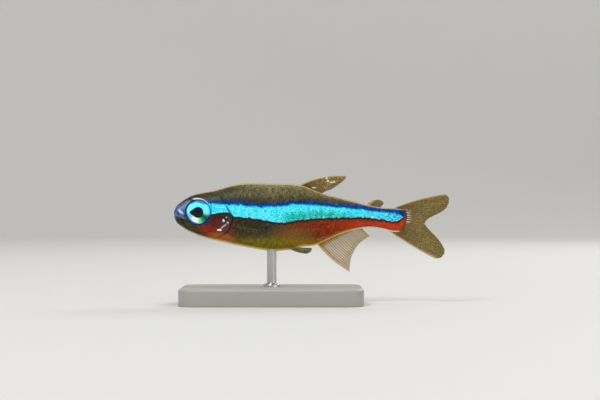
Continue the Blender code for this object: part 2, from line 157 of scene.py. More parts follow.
class TetraSizes(bpy.types.PropertyGroup):
    """Sizes that the builder of a fish would change."""

    scale_rows: IntProperty(
        name="Scale rows", description="Rows of scales on each side", default=12, min=6, max=18
    )
    front_scale: length_property("Front scale spacing", "From scale to scale behind the head", 0.64)
    rear_scale: length_property("Rear scale spacing", "From scale to scale at the tail", 0.44)
    scale_lift: length_property("Scale lift", "How far a scale's rear edge stands off the skin", 0.026)
    ray_thickness: length_property("Ray thickness", "Thickness of a fin ray at its root", 0.17)
    web_thickness: length_property("Web thickness", "Thickness of the skin between rays", 0.05)
    base_corner: length_property("Base corner", "Radius of the stand base's corners", 1.8)
    base_edge: length_property("Base edge", "Radius of the stand base's upper edge", 0.3)


def srgb(red, green, blue):
    """A screen colour, 0 to 255, in the linear values that shaders use."""
    share = np.array((red, green, blue)) / 255
    linear = np.where(share <= 0.04045, share / 12.92, ((share + 0.055) / 1.055) ** 2.4)
    return tuple(float(value) for value in linear)


def colour_property(name, description, red, green, blue):
    default = srgb(red, green, blue)
    return FloatVectorProperty(
        name=name, description=description, subtype="COLOR", size=3, min=0, max=1, default=default
    )


class TetraColours(bpy.types.PropertyGroup):
    """Colours of the fish and its stand."""

    back: colour_property("Back", "Olive brown of the back", 100, 92, 54)
    # Ridge gold: partly the back's own colour and partly a painted highlight along its edge
    ridge: colour_property("Ridge", "Pale gold along the ridge of the back", 222, 202, 150)
    rim: colour_property("Stripe rim", "Royal blue along the upper edge of the stripe", 6, 44, 138)
    stripe: colour_property("Stripe", "Bright blue-green of the stripe", 52, 232, 250)
    stripe_rear: colour_property("Stripe rear", "Greener lower half of the stripe", 0, 176, 162)
    flank: colour_property("Flank", "Dark grey olive under the stripe", 48, 48, 34)
    belly: colour_property("Belly", "Yellow green of the belly", 134, 128, 16)
    # Keel gold: partly the belly edge's own colour and partly a painted highlight along it
    keel_gold_and_highlight: colour_property("Keel", "Gold along the belly's edge", 252, 206, 84)
    gill: colour_property("Gill", "Brown red of the gill cover", 118, 40, 30)
    rump: colour_property("Rump", "Dark red brown behind the belly", 142, 40, 8)
    tail_red: colour_property("Tail red", "Bright red of the tail stalk", 226, 62, 16)
    snout: colour_property("Snout", "Blue violet of the snout", 74, 104, 150)
    fin: colour_property("Fin", "Olive brown of the fins", 124, 100, 28)
    anal: colour_property("Anal fin", "Gold of the anal fin", 164, 126, 10)
    base: colour_property("Stand base", "Warm grey resin", 168, 165, 160)
    rod: colour_property("Stand rod", "Pale steel", 190, 190, 192)


class StageSettings(bpy.types.PropertyGroup):
    """The floor, the lights and the camera."""

    floor: colour_property("Floor", "Pale floor and backdrop", 214, 213, 210)
    light: FloatProperty(name="Light", description="Strength of the lights", default=1.0, min=0, max=10)
    lens: FloatProperty(name="Lens", description="Focal length", default=100.0, min=20, max=300)


def smooth_curve(places, values, at):
    """A smooth curve through values at rising places, read at many places."""
    places, values = np.asarray(places, float), np.asarray(values, float)
    widths = np.diff(places)
    slopes = np.diff(values) / widths
    tangents = np.concatenate((slopes[:1], (slopes[1:] + slopes[:-1]) / 2, slopes[-1:]))
    span = np.clip(np.searchsorted(places, at) - 1, 0, len(slopes) - 1)
    width = widths[span]
    share = (at - places[span]) / width
    lift = share * share * (3 - 2 * share)
    bend_in = share * (1 - share) ** 2 * width * tangents[span]
    bend_out = share * share * (share - 1) * width * tangents[span + 1]
    return values[span] + (values[span + 1] - values[span]) * lift + bend_in + bend_out


def smooth_line(points, count):
    """Evenly spaced points along a smooth line through the given ones."""
    points = np.asarray(points, float)
    marks = np.concatenate(([0.0], np.cumsum(np.linalg.norm(np.diff(points, axis=0), axis=1))))
    at = np.linspace(0, marks[-1], count)
    return np.stack([smooth_curve(marks, column, at) for column in points.T], axis=1)


def ease(value, low, high):
    """0 up to low, 1 from high, and smooth between; low may be the larger."""
    share = np.clip((value - low) / (high - low), 0, 1)
    return share * share * (3 - 2 * share)


def hump(value, middle, width):
    return np.exp(-(((value - middle) / width) ** 2))


def outline_at(x):
    """Back, belly and half width of the body, x behind the snout."""
    shares, *edges = BODY_OUTLINE.T
    back, belly, width = (smooth_curve(shares * STANDARD_LENGTH, values, x) for values in edges)
    rounding = np.sqrt(1 - (1 - np.minimum(x / NOSE_ROUND, 1)) ** 2)
    closing = np.clip((x - TAIL_CLOSING) / (SKIN_END + 0.05 - TAIL_CLOSING), 0, 1)
    back, belly = (NOSE_LEVEL + (edge * BODY_DEPTH - NOSE_LEVEL) * rounding for edge in (back, belly))
    return back, belly, width * BODY_WIDTH / 2 * rounding * np.sqrt(1 - closing**2)


def body_points(x, turn):
    """Points of the body, x behind the snout.

    turn is 0 at the ridge of the back and pi at the belly; the left side's is negative.
    """
    x, turn = np.broadcast_arrays(x, turn)
    back, belly, half_width = outline_at(x)
    middle = belly + WIDEST_SHARE * (back - belly)
    upper = np.cos(turn) > 0
    places, *sharpness = SECTION_SHARPNESS.T
    sharp = np.where(upper, *(smooth_curve(places, values, x) for values in sharpness))
    across = np.sign(np.sin(turn)) * np.abs(np.sin(turn)) ** sharp
    reach = np.where(upper, back - middle, middle - belly)
    bent = np.clip((x - TAIL_BEND_START) / (SKIN_END - TAIL_BEND_START), 0, 1) ** 2
    low_share = (np.cos(turn) - TAIL_FARTHEST) ** 2 / 1.8  # about 1 at the lower corner
    pulled = TAIL_ROUNDING * low_share * bent
    return np.stack((x - pulled, half_width * across, middle + reach * np.cos(turn)), axis=-1)


def normals_of(x, turn):
    """Outward directions of the body."""
    step = 0.004
    ahead = body_points(x + step, turn) - body_points(np.maximum(x - step, 0), turn)
    round_it = body_points(x, turn + step) - body_points(x, turn - step)
    return unit(np.cross(ahead, round_it))


def unit(directions):
    return directions / np.maximum(np.linalg.norm(directions, axis=-1, keepdims=True), 1e-9)


def line_distance(x, z, line):
    """How far points of the side view are from a line, positive on the side to the right of its run."""
    start, run = line[:-1], np.diff(line, axis=0)
    offset = np.stack((x, z), axis=-1)[..., None, :] - start
    share = np.clip((offset * run).sum(-1) / (run * run).sum(-1), 0, 1)
    away = np.linalg.norm(offset - share[..., None] * run, axis=-1)
    nearest = away.argmin(-1)[..., None]
    side = run[:, 1] * offset[..., 0] - run[:, 0] * offset[..., 1]
    return np.take_along_axis(away * np.sign(side), nearest, -1)[..., 0]


def behind_gills(x, z):
    """Distance from the gill cover's rear edge, negative on the head."""
    return -line_distance(x, z, smooth_line(GILL_EDGE, 70))


def from_eye(x, z):
    return np.hypot(x - EYE_X, z - EYE_Z)


def mouth_relief(x, z):
    """The lips and the line between them, and the painted shade in that line and at the mouth's corner."""
    slope = (MOUTH_CORNER[1] - MOUTH_FRONT) / MOUTH_CORNER[0]
    off = (z - MOUTH_FRONT - slope * x) / math.hypot(1, slope)
    share = x / MOUTH_CORNER[0]
    open_part = 1 - ease(share, 0.90, 1.08)
    fade = (1 - 0.55 * np.clip(share, 0, 1) ** 2) * (0.30 + 0.70 * ease(x, 0.02, 0.40))
    slit = hump(off, 0, 0.05) * open_part
    lips = (hump(off, 0.14, 0.075) + hump(off, -0.14, 0.075)) * open_part * fade
    corner = hump(np.hypot(x - MOUTH_CORNER[0] - 0.06, z - MOUTH_CORNER[1] + 0.03), 0, 0.10)
    depth = 0.04 + 0.09 * ease(x, 0.02, 0.40)
    return 0.055 * lips - depth * slit - 0.025 * corner, np.clip(slit + 0.4 * corner, 0, 1)


def nostril_relief(x, z):
    height, dark = np.zeros_like(x), np.zeros_like(x)
    for nostril_x, nostril_z in NOSTRILS:
        away = np.hypot(x - nostril_x, z - nostril_z)
        height += 0.030 * hump(away, 0.115, 0.035) - 0.11 * hump(away, 0, 0.065)
        # Painted shade in each nostril's pit
        dark += hump(away, 0, 0.06)
    return height, dark


def gill_relief(x, z, turn):
    """The gill cover's swell and free rear edge, the fold behind it, the groove along the cheek, and the
    painted shade in them.
    """
    behind = behind_gills(x, z)
    folded = np.abs(turn)
    free = ease(z, 1.75, 0.9) * ease(z, -3.3, -2.7)
    along = np.clip((x - 3.4) / 1.4, 0, 1)
    cover = np.sin(folded) * (0.5 - 0.5 * np.cos(folded)) * ease(behind, 0.02, -0.05)
    edge = 0.030 * hump(behind, -0.10, 0.07) * free
    crease = hump(behind, 0.055, 0.06) * free
    cheek = line_distance(x, z, smooth_line(CHEEK_LINE, 50))
    groove = hump(cheek, 0, 0.045)
    lip = 0.022 * hump(cheek, 0.09, 0.06) + 0.012 * hump(cheek, -0.10, 0.07)
    second = hump(cheek, -0.42, 0.05) * ease(z, -0.2, -1.2)
    relief = GILL_SWELL * along * cover + edge - 0.085 * crease - 0.045 * groove + lip - 0.018 * second
    return relief, np.clip(0.9 * crease + 0.45 * groove + 0.2 * second, 0, 1)


def brow_relief(x, z):
    """The raised rim of the eye's socket and the fine bones round it, with painted shade in the groove and
    the seams.
    """
    away = from_eye(x, z)
    bearing = np.arctan2(z - EYE_Z, x - EYE_X)
    groove = hump(away, 1.86, 0.05) * ease(z, 0.5, -0.3)
    seams = hump(np.sin(3.5 * bearing + 0.6), 0, 0.09) * ease(away, 1.42, 1.5) * ease(away, 1.9, 1.8)
    seams *= ease(z, 0.3, -0.3)
    return 0.045 * hump(away, 1.40, 0.07) - 0.020 * groove - 0.012 * seams, 0.12 * groove + 0.08 * seams


def skin_surface(stations, turns):
    """The skin's points with all its relief, and the painted shade of the creases, pits and sockets on them.
    """
    x, turn = np.meshgrid(stations, turns, indexing="ij")
    points, facing = body_points(x, turn), normals_of(x, turn)
    head = slice(int(np.searchsorted(stations, HEAD_END)))
    x, z, turn = x[head], points[head, :, 2], turn[head]
    relief, dark = np.zeros(points.shape[:2]), np.zeros(points.shape[:2])
    reliefs = (mouth_relief(x, z), nostril_relief(x, z), gill_relief(x, z, turn), brow_relief(x, z))
    for height, shade in reliefs:
        relief[head] += height
        dark[head] += shade
    coat = ease(points[..., 0], 4.6, 5.4)
    coat[head] *= ease(behind_gills(x, z), -0.1, 0.2)
    points = points + facing * (relief - COAT_DEPTH * coat)[..., None]
    away = from_eye(x, z)
    sunk = ease(away, 1.35, EYE_RADIUS)
    y = points[head, :, 1]
    points[head, :, 1] = np.sign(y) * (np.abs(y) * (1 - sunk) + np.minimum(SOCKET_FLOOR, np.abs(y)) * sunk)
    # Painted shade round the eye's socket
    dark[head] = np.maximum(dark[head], 0.20 * ease(away, 1.32, 1.28))
    return points, np.clip(dark, 0, 1)


def grid_faces(rows, columns, closed=False, start=0, flip=False):
    """Corner numbers of the squares of a grid; closed joins the last column to the first."""
    last = columns if closed else columns - 1
    row, column = np.meshgrid(np.arange(rows - 1), np.arange(last), indexing="ij")
    here, after = row * columns + column, row * columns + (column + 1) % columns
    squares = np.stack((here, after, after + columns, here + columns), axis=-1).reshape(-1, 4) + start
    return squares[:, ::-1] if flip else squares


def tube_faces(rows, spokes):
    """Faces of a row of rings, closed at both ends."""
    ends = [list(range(spokes))[::-1], list(range((rows - 1) * spokes, rows * spokes))]
    return grid_faces(rows, spokes, closed=True).tolist() + ends


def sheet_faces(rows, columns, flip=False):
    """Faces of a thin closed sheet: a grid of points, the same grid for its other side, and the edge."""
    count = rows * columns
    edge = [*range(columns), *range(2 * columns - 1, count, columns)]
    edge += [*range(count - 2, count - columns - 1, -1), *range(count - 2 * columns, 0, -columns)]
    wall = np.array([(b, a, a + count, b + count) for a, b in zip(edge, edge[1:] + edge[:1])])
    front, rear = grid_faces(rows, columns), grid_faces(rows, columns, start=count, flip=True)
    faces = np.concatenate((front, rear, wall))
    return faces[:, ::-1] if flip else faces


def fish_mesh(name, points, faces, attributes):
    """A mesh from points in the fish's millimetres, with named values at the points."""
    mesh = bpy.data.meshes.new(name)
    mesh.from_pydata((SNOUT + points.reshape(-1, 3) * MM).tolist(), [], faces)
    for label, values in attributes.items():
        layer = mesh.attributes.new(label, "FLOAT", "POINT")
        layer.data.foreach_set("value", values.astype(np.float32).ravel())
    return mesh


def corner_points(mesh):
    """The number of the point at each corner of the faces."""
    corners = np.zeros(len(mesh.loops), np.int32)
    mesh.loops.foreach_get("vertex_index", corners)
    return corners


def lay_out(mesh, places):
    """Gives each corner its place on the map that finishes are baked to."""
    layer = mesh.uv_layers.new(name="OFBake")
    layer.uv.foreach_set("vector", places.astype(np.float32).ravel())


def finished(mesh, look, sharp=None):
    """The object of a mesh, smooth apart from edges of more than so many degrees."""
    mesh.materials.append(look)
    mesh.shade_smooth()
    if sharp:
        mesh.set_sharp_from_angle(angle=math.radians(sharp))
    made = bpy.data.objects.new(mesh.name, mesh)
    bpy.context.scene.collection.objects.link(made)
    return made


def riding(mesh, look, sharp=None):
    """A finished piece, riding on the frame."""
    piece = finished(mesh, look, sharp)
    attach(piece, "root")
    return piece


# Shaders


class Wire:
    """A value in a node tree, so that shader sums read as formulas."""

    def __init__(self, graph, socket):
        self.graph = graph
        self.socket = socket

    def worked_out(self, operation, *others):
        return self.graph.math(operation, self, *others)

    def __rsub__(self, other):
        return self.graph.math("SUBTRACT", other, self)

    __add__ = partialmethod(worked_out, "ADD")
    __sub__ = partialmethod(worked_out, "SUBTRACT")
    __mul__ = partialmethod(worked_out, "MULTIPLY")
    __truediv__ = partialmethod(worked_out, "DIVIDE")
    __abs__ = partialmethod(worked_out, "ABSOLUTE")
    at_least = partialmethod(worked_out, "MAXIMUM")

    def step(self, low, high):
        """0 up to low, 1 from high and smooth between."""
        limits = {"Value": self, "From Min": low, "From Max": high}
        return self.graph.wire("ShaderNodeMapRange", limits, interpolation_type="SMOOTHSTEP")

    def drop(self, low, high):
        """1 up to low, 0 from high and smooth between."""
        return 1 - self.step(low, high)


class Graph:
    """Adds nodes to a tree and joins them."""

    def __init__(self, tree):
        self.tree = tree

    def feed(self, sockets, values):
        """Joins each named or numbered socket to its value, or sets it."""
        for key, value in values.items():
            if isinstance(value, Wire):
                self.tree.links.new(value.socket, sockets[key])
            elif sockets[key].type == "RGBA":
                sockets[key].default_value = (*value[:3], 1.0)
            else:
                sockets[key].default_value = value

    def node(self, kind, inputs=None, **settings):
        made = self.tree.nodes.new(kind)
        for name, value in settings.items():
            setattr(made, name, value)
        self.feed(made.inputs, inputs or {})
        return made

    def wire(self, kind, inputs=None, output=0, **settings):
        """One output of a new node."""
        return Wire(self, self.node(kind, inputs, **settings).outputs[output])

    def outputs(self, kind, inputs=None, **settings):
        """All outputs of a new node, by name."""
        return {socket.name: Wire(self, socket) for socket in self.node(kind, inputs, **settings).outputs}

    def math(self, operation, *values, clamp=False):
        return self.wire("ShaderNodeMath", dict(enumerate(values)), operation=operation, use_clamp=clamp)

    def blend(self, mask, first, second):
        colours = {0: mask, 6: first, 7: second}
        return self.wire("ShaderNodeMix", colours, 2, data_type="RGBA", clamp_factor=True)

    def painted(self, colour, *layers):
        """A colour with others laid over it in turn, each through its mask."""
        for mask, over in layers:
            colour = self.blend(mask, colour, over)
        return colour

    def mottled(self, mask, colour, dark, light):
        """Two shades of a colour, each given as a share of it, parted by a mask."""
        return self.blend(mask, [dark * part for part in colour], [light * part for part in colour])

    def noise(self, place, scale, roughness=0.5, detail=3.0):
        inputs = {"Vector": place, "Scale": scale, "Detail": detail, "Roughness": roughness}
        return self.wire("ShaderNodeTexNoise", inputs)

    def cells(self, place, scale):
        """Distance from the nearest of many scattered points."""
        return self.wire("ShaderNodeTexVoronoi", {"Vector": place, "Scale": scale})

    def attribute(self, name):
        return self.wire("ShaderNodeAttribute", output="Fac", attribute_name=name)

    def scaled(self, vector, *factors):
        return self.wire("ShaderNodeVectorMath", {0: vector, 1: factors}, operation="MULTIPLY")

    def joined(self, x, y, z=0.0):
        return self.wire("ShaderNodeCombineXYZ", {0: x, 1: y, 2: z})

    def split(self, vector):
        return self.outputs("ShaderNodeSeparateXYZ", {0: vector}).values()

    def bumps(self, height, depth):
        """A normal with bumps of a depth in metres."""
        return self.wire("ShaderNodeBump", {"Height": height, "Strength": 1.0, "Distance": depth})

    def ramp(self, factor, stops):
        """A run of colours from (place, screen colour) stops."""
        made = self.node("ShaderNodeValToRGB", {0: factor})
        elements = made.color_ramp.elements
        while len(elements) < len(stops):
            elements.new(1.0)
        for element, (place, colour) in zip(elements, stops):
            element.position = place
            element.color = (*srgb(*colour), 1.0)
        return Wire(self, made.outputs[0])

    def height_curve(self, along, points):
        """The height at each place along the fish of a smooth curve through (place, height) points."""
        low, high, longest = -4.0, 4.0, 30.0
        made = self.node("ShaderNodeFloatCurve", {"Value": along / longest})
        curve = made.mapping.curves[0]
        for i, (place, height) in enumerate(points):
            spot = (place / longest, (height - low) / (high - low))
            if i < 2:
                curve.points[i].location = spot
            else:
                curve.points.new(*spot)
        made.mapping.update()
        return Wire(self, made.outputs[0]) * (high - low) + low


def oval(across, up, x, z, long, tall, turn=0.0, soft=0.5):
    """A soft oval of the side view, 1 at its middle."""
    dx, dz = across - x, up - z
    c, s = math.cos(turn), math.sin(turn)
    run, rise = (dx * c + dz * s) / long, (dz * c - dx * s) / tall
    return (run * run + rise * rise).drop(1 - soft, 1 + soft)


SOCKET_KINDS = {"Place": "NodeSocketVector", "Color": "NodeSocketColor", "Glow": "NodeSocketColor"}


def open_group(name, inputs):
    """The graph of a new node group, and its inputs by name."""
    graph = Graph(bpy.data.node_groups.new(name, "ShaderNodeTree"))
    for label, default in inputs.items():
        kind = SOCKET_KINDS.get(label, "NodeSocketFloat")
        graph.tree.interface.new_socket(name=label, in_out="INPUT", socket_type=kind).default_value = default
    return graph, graph.outputs("NodeGroupInput")


def close_group(graph, outputs):
    """Gives a group its named outputs."""
    for label in outputs:
        kind = SOCKET_KINDS.get(label, "NodeSocketFloat")
        graph.tree.interface.new_socket(name=label, in_out="OUTPUT", socket_type=kind)
    graph.node("NodeGroupOutput", outputs)
    return graph.tree


def shared_group(name, build, *settings):
    """A node group by its name, built when it is first asked for."""
    return bpy.data.node_groups.get(name) or build(name, *settings)


def fish_place_group(name):
    """Millimetres along the fish and up from its snout, with a noise-jittered copy for ragged edges."""
    graph, given = open_group(name, {"Raggedness": 0.20, "Step": 0.5})
    spot = graph.wire("ShaderNodeTexCoord", output="Object")
    shifted = graph.wire("ShaderNodeVectorMath", {0: spot, 1: SNOUT}, operation="SUBTRACT")
    place = graph.scaled(shifted, 1 / MM, 1 / MM, 1 / MM)
    along, _, height = graph.split(place)
    grain = graph.noise(place, 3.2, 0.65) - 0.5
    ragged = grain * given["Raggedness"] + height + (given["Step"] - 0.5) * 0.14
    return close_group(graph, {"Place": place, "Along": along, "Height": height, "Ragged height": ragged})


class FishGraph(Graph):
    """A graph with each point's place in the fish's side view, in millimetres."""

    def __init__(self, tree, step=0.5):
        super().__init__(tree)
        group = shared_group("Fish place", fish_place_group)
        found = self.outputs("ShaderNodeGroup", {"Step": step}, node_tree=group)
        self.place, self.along, self.height, self.ragged = found.values()

    def from_eye(self):
        """How far behind, above and away from the middle of the eye."""
        behind, above = self.along - EYE_X, self.height - EYE_Z
        return behind, above, self.math("SQRT", behind * behind + above * above)


# Edges of the stripe and of the snout's patch: millimetres along the fish, and height
RIM_TOP = (
    (0.0, 0.9), (2.2, 1.25), (3.9, 1.16), (6.9, 1.06), (8.7, 0.88), (10.4, 0.88), (12.1, 1.08), (14.4, 1.00),
    (16.8, 0.81), (19.2, 0.61), (21.0, 0.34), (22.1, 0.20), (23.1, 0.15), (23.6, 0.08), (24.0, -0.06),
    (24.4, -0.32),
)
STRIPE_TOP = (
    (0.0, 0.6), (2.2, 0.95), (3.9, 0.84), (6.9, 0.71), (8.7, 0.54), (11.0, 0.58), (12.5, 0.78), (14.4, 0.70),
    (16.8, 0.48), (19.2, 0.25), (21.0, 0.06), (22.1, -0.07), (22.9, -0.13), (23.4, -0.28), (23.8, -0.52),
)
STRIPE_FOOT = (
    (0.0, -0.5), (3.2, -0.6), (4.1, -0.19), (5.9, -0.06), (6.3, -0.46), (6.9, -0.48), (8.4, -0.63),
    (10.0, -0.93), (11.9, -1.03), (12.9, -0.84), (14.5, -0.66), (16.8, -0.57), (19.2, -0.55),
    (21.0, -0.66), (22.1, -0.84), (22.9, -0.98), (23.3, -0.93), (23.7, -0.72), (24.3, -0.24),
)
SNOUT_TOP = ((0, 0.45), (0.6, 0.78), (1.7, 1.22), (4.0, 1.6), (24.0, 1.6))
SNOUT_FOOT = ((0, -0.55), (1.1, -0.72), (2.4, -1.0), (24.0, -1.0))
# Painted highlights on the shining edges of the gill cover and shoulder: middle, radii, turn and strength
GILL_HIGHLIGHTS = (
    (5.26, -0.86, 0.11, 0.16, 0.4, 1.0),
    (5.54, -0.56, 0.08, 0.08, 0.0, 0.6),
    (5.68, -1.08, 0.13, 0.08, -0.7, 0.5),
    (5.22, -1.48, 0.38, 0.07, 0.62, 0.45),
    (4.80, -1.86, 0.25, 0.10, 0.05, 1.0),
)
EYE_RING = srgb(22, 76, 142)
BLACK = (0.0, 0.0, 0.0)


class Markings(FishGraph):
    """The fish's markings, over skin and scales alike."""

    def __init__(self, tree, given, colours):
        super().__init__(tree, given["Scale tint"])
        self.colours = colours
        self.girth, self.scale_rim, self.tint, self.crease = list(given.values())[:4]
        self.coarse = self.noise(self.place, 2.6, 0.6)
        self.fine = self.noise(self.place, 7.0, 0.7)
        self.pepper = self.cells(self.place, 7.0)
        self.patches = self.coarse.step(0.35, 0.65)
        self.clouds = self.coarse.step(0.38, 0.62)
        self.dots = self.pepper.drop(0.18, 0.38)
        self.glints = self.noise(self.place, 6.5, 0.75).step(0.53, 0.64)
        self.slim = self.along.step(14.0, 20.0) * 0.05
        self.over_rim, self.over_foot = self.over(RIM_TOP), self.over(STRIPE_FOOT)

    def over(self, line):
        """How far a place lies over a line, with the scales' raggedness."""
        return self.ragged - self.height_curve(self.along, line)

    def spot(self, *shape):
        return oval(self.along, self.ragged, *shape)

    def back(self):
        """Olive brown, peppered with dark cells, darker at the scales' edges, and at the ridge gold with a
        painted highlight.
        """
        # The ridge's pale gold is partly the back's own and partly a painted highlight along the edge
        ridge = (self.girth - self.slim).drop(0.072, 0.118) * (self.girth.step(0.015, 0.05) * 0.65 + 0.35)
        return self.painted(
            self.mottled(self.patches, self.colours.back, 0.55, 1.15),
            (self.tint.step(0.45, 1.0) * 0.35, srgb(140, 130, 92)),
            # Painted shade: the back is darkened towards the head
            (self.along.drop(5.0, 11.5) * 0.74, srgb(32, 34, 10)),
            (self.glints * (self.along.step(4.5, 12.0) * 0.18 + 0.40), srgb(186, 172, 106)),
            (self.over_rim.step(1.0, 2.0) * 0.30, srgb(160, 148, 98)),
            (self.over_rim.drop(0.20, 0.90) * 0.60, srgb(34, 46, 30)),
            (self.dots * 0.80, srgb(30, 30, 20)),
            (self.scale_rim * 0.55, srgb(44, 42, 26)),
            (ridge * (self.glints * 0.4 + 0.55), self.colours.ridge),
        )

    def flank(self):
        """Grey olive under the stripe, yellow green to gold below, red brown and then red behind."""
        along, colours = self.along, self.colours
        broad = self.noise(self.place, 0.8)
        belly = self.mottled(self.patches, colours.belly, 0.7, 1.2)
        belly = self.blend(along.step(10.3, 13.4) * 0.9, belly, srgb(178, 134, 20))
        by_foot = self.over_foot.step(-0.65, -0.25) * along.step(12.4, 13.8) * along.drop(19.5, 22.5)
        near_fin = self.girth.step(0.76, 0.84) * along.step(14.2, 15.4) * along.drop(18.4, 19.8)
        rump = self.mottled(self.patches, colours.rump, 0.6, 1.3)
        warm = self.blend(along.step(14.0, 18.0), srgb(140, 112, 46), srgb(222, 118, 40))
        # The belly's edge: gold paling to pink white behind, partly its own colour and partly painted
        # highlight
        keel_gold_and_highlight = self.blend(along.step(18.0, 19.8), colours.keel_gold_and_highlight, srgb(255, 230, 212))
        return self.painted(
            self.mottled(self.patches, colours.flank, 0.6, 1.35),
            (broad.step(0.45, 0.65) * 0.5, srgb(58, 44, 54)),
            (self.spot(11.6, -2.1, 1.9, 0.9, 0.3, 0.9) * 0.5, srgb(122, 90, 34)),
            (self.ragged.drop(-3.2, -2.2) * 0.92, belly),
            (along.step(10.2, 13.6) * self.ragged.step(-2.7, -1.5) * 0.85, colours.rump),
            ((self.coarse * 1.6 + along).step(14.2, 16.8), rump),
            (along.step(15.8, 20.4), self.mottled(self.patches, colours.tail_red, 1.0, 0.66)),
            (self.spot(12.7, -2.35, 1.7, 0.6, 0.1, 0.9) * 0.5, srgb(150, 102, 28)),
            (by_foot * 0.55, srgb(72, 52, 24)),
            (self.glints * 0.52, warm),
            (self.dots * 0.55, srgb(26, 20, 14)),
            (self.scale_rim * 0.40, srgb(30, 18, 10)),
            (near_fin * self.fine.step(0.50, 0.58) * 0.6, srgb(216, 164, 132)),
            ((self.girth + self.slim).step(0.875, 0.915) * 0.9, keel_gold_and_highlight),
        )

    def face(self):
        """Gold brown cheeks and throat with brown red gills."""
        gills = self.painted(
            self.mottled(self.clouds, self.colours.gill, 0.5, 1.2),
            (self.fine.step(0.50, 0.62) * 0.5, srgb(96, 44, 84)),
            (self.coarse.step(0.56, 0.64) * 0.6, srgb(40, 22, 34)),
        )
        # Pale gold under the chin: partly its own colour and partly painted highlight
        chin_gold_and_highlight = self.girth.step(0.85, 0.93) * self.along.step(0.5, 2.6)
        return self.painted(
            self.blend(self.patches, srgb(42, 40, 14), srgb(84, 68, 22)),
            (self.along.step(1.8, 4.4), srgb(124, 62, 22)),
            (self.spot(4.6, -1.25, 2.0, 1.05, -0.25, 0.55), gills),
            (self.spot(3.8, -1.95, 1.0, 0.46, -0.35, 0.8) * 0.75, srgb(158, 42, 18)),
            (self.spot(3.85, -0.80, 0.80, 0.32, 0.5, 0.9) * 0.70, srgb(42, 34, 22)),
            (self.spot(5.70, -1.85, 0.75, 0.75, 0.0, 0.9) * 0.50, srgb(112, 70, 54)),
            (self.spot(5.40, -0.62, 0.75, 0.42, -0.2, 0.9) * 0.80, srgb(24, 18, 32)),
            (self.spot(5.2, -2.74, 1.5, 0.50, -0.2, 0.8) * 0.85, srgb(188, 104, 34)),
            (self.dots * 0.45, srgb(30, 16, 12)),
            (chin_gold_and_highlight * (self.coarse.step(0.35, 0.6) * 0.3 + 0.65), srgb(255, 222, 146)),
        )

    def snout(self):
        """Blue violet, with pale patches."""
        return self.painted(
            self.blend(self.clouds, self.colours.snout, srgb(34, 44, 96)),
            (self.fine.step(0.47, 0.58) * 0.45, srgb(132, 156, 206)),
            (self.spot(1.25, 0.76, 0.85, 0.24, 0.75, 0.9) * 0.8, srgb(136, 148, 178)),
            (self.spot(0.76, 0.05, 0.36, 0.15, -0.75, 0.6) * 0.9, srgb(180, 220, 252)),
            (self.spot(0.62, 0.38, 0.34, 0.11, 0.7, 0.8) * 0.4, srgb(168, 158, 206)),
            (self.spot(0.30, -0.36, 0.42, 0.10, -0.5, 0.8) * 0.6, srgb(120, 132, 190)),
            (self.dots * 0.5, srgb(20, 26, 60)),
        )

    def stripe(self):
        """Bright blue-green, streaked along the fish and greener in its lower half."""
        along = self.along
        streaky = self.noise(self.scaled(self.place, 0.7, 1.0, 1.7), 5.0, 0.65)
        lower = (along * 0.06 + self.over_foot).drop(1.30, 1.92)
        lower = lower * along.step(10.2, 12.4) * along.drop(16.0, 21.5)
        dull = self.blend(lower, srgb(0, 128, 206), srgb(0, 100, 92))
        bright = self.blend(lower, srgb(160, 255, 255), srgb(120, 255, 226))
        return self.painted(
            self.colours.stripe,
            ((lower * 0.95).at_least(streaky.step(0.45, 0.62) * 0.35), self.colours.stripe_rear),
            (streaky.drop(0.40, 0.53) * (lower * 0.30 + 0.62), dull),
            (self.tint.step(0.4, 1.0) * 0.12, srgb(150, 250, 255)),
            (self.scale_rim * 0.20, srgb(0, 122, 160)),
            (self.fine.step(0.53, 0.62) * (lower * -0.25 + 0.66), bright),
            (along.step(19.0, 23.0) * (streaky.drop(0.44, 0.54) * 0.62 + 0.08), srgb(0, 88, 176)),
        )

    def stripe_masks(self, away):
        """Where the blue rim, the bright core and the dark line under them lie, from the eye to the tail."""
        along = self.along
        finish = along.drop(SKIN_END - 0.25, SKIN_END)
        tear = (self.fine - 0.5) * 0.45
        on_foot = self.over_foot.step(-0.05, 0.05)
        rim = (self.over_rim + tear).drop(-0.15, 0.15) * on_foot * along.step(2.0, 3.0) * finish
        dark = self.over_rim.drop(-0.09, 0.09) * self.over_foot.step(-0.29, -0.17)
        core = (self.over(STRIPE_TOP) + tear).drop(-0.12, 0.12) * on_foot
        core = core * away.step(1.29, 1.34) * along.step(3.2, 3.3) * finish
        gill_notch = abs(along - (self.ragged * -0.58 + 5.86)).drop(0.05, 0.13)
        gill_notch = gill_notch * self.ragged.drop(0.45, 0.75) * 0.8
        notch = gill_notch.at_least(abs(along - 3.95).drop(0.03, 0.10) * 0.65)
        return rim, core * (1 - notch), dark * along.step(3.3, 3.9) * finish

    def gill_shine(self):
        """Painted highlights on the shining edges of the gill cover and shoulder."""
        shine = 0.0
        for *shape, strength in GILL_HIGHLIGHTS:
            shine = (self.spot(*shape, 0.8) * strength).at_least(shine)
        return shine * (self.fine.step(0.40, 0.52) * 0.5 + 0.5)

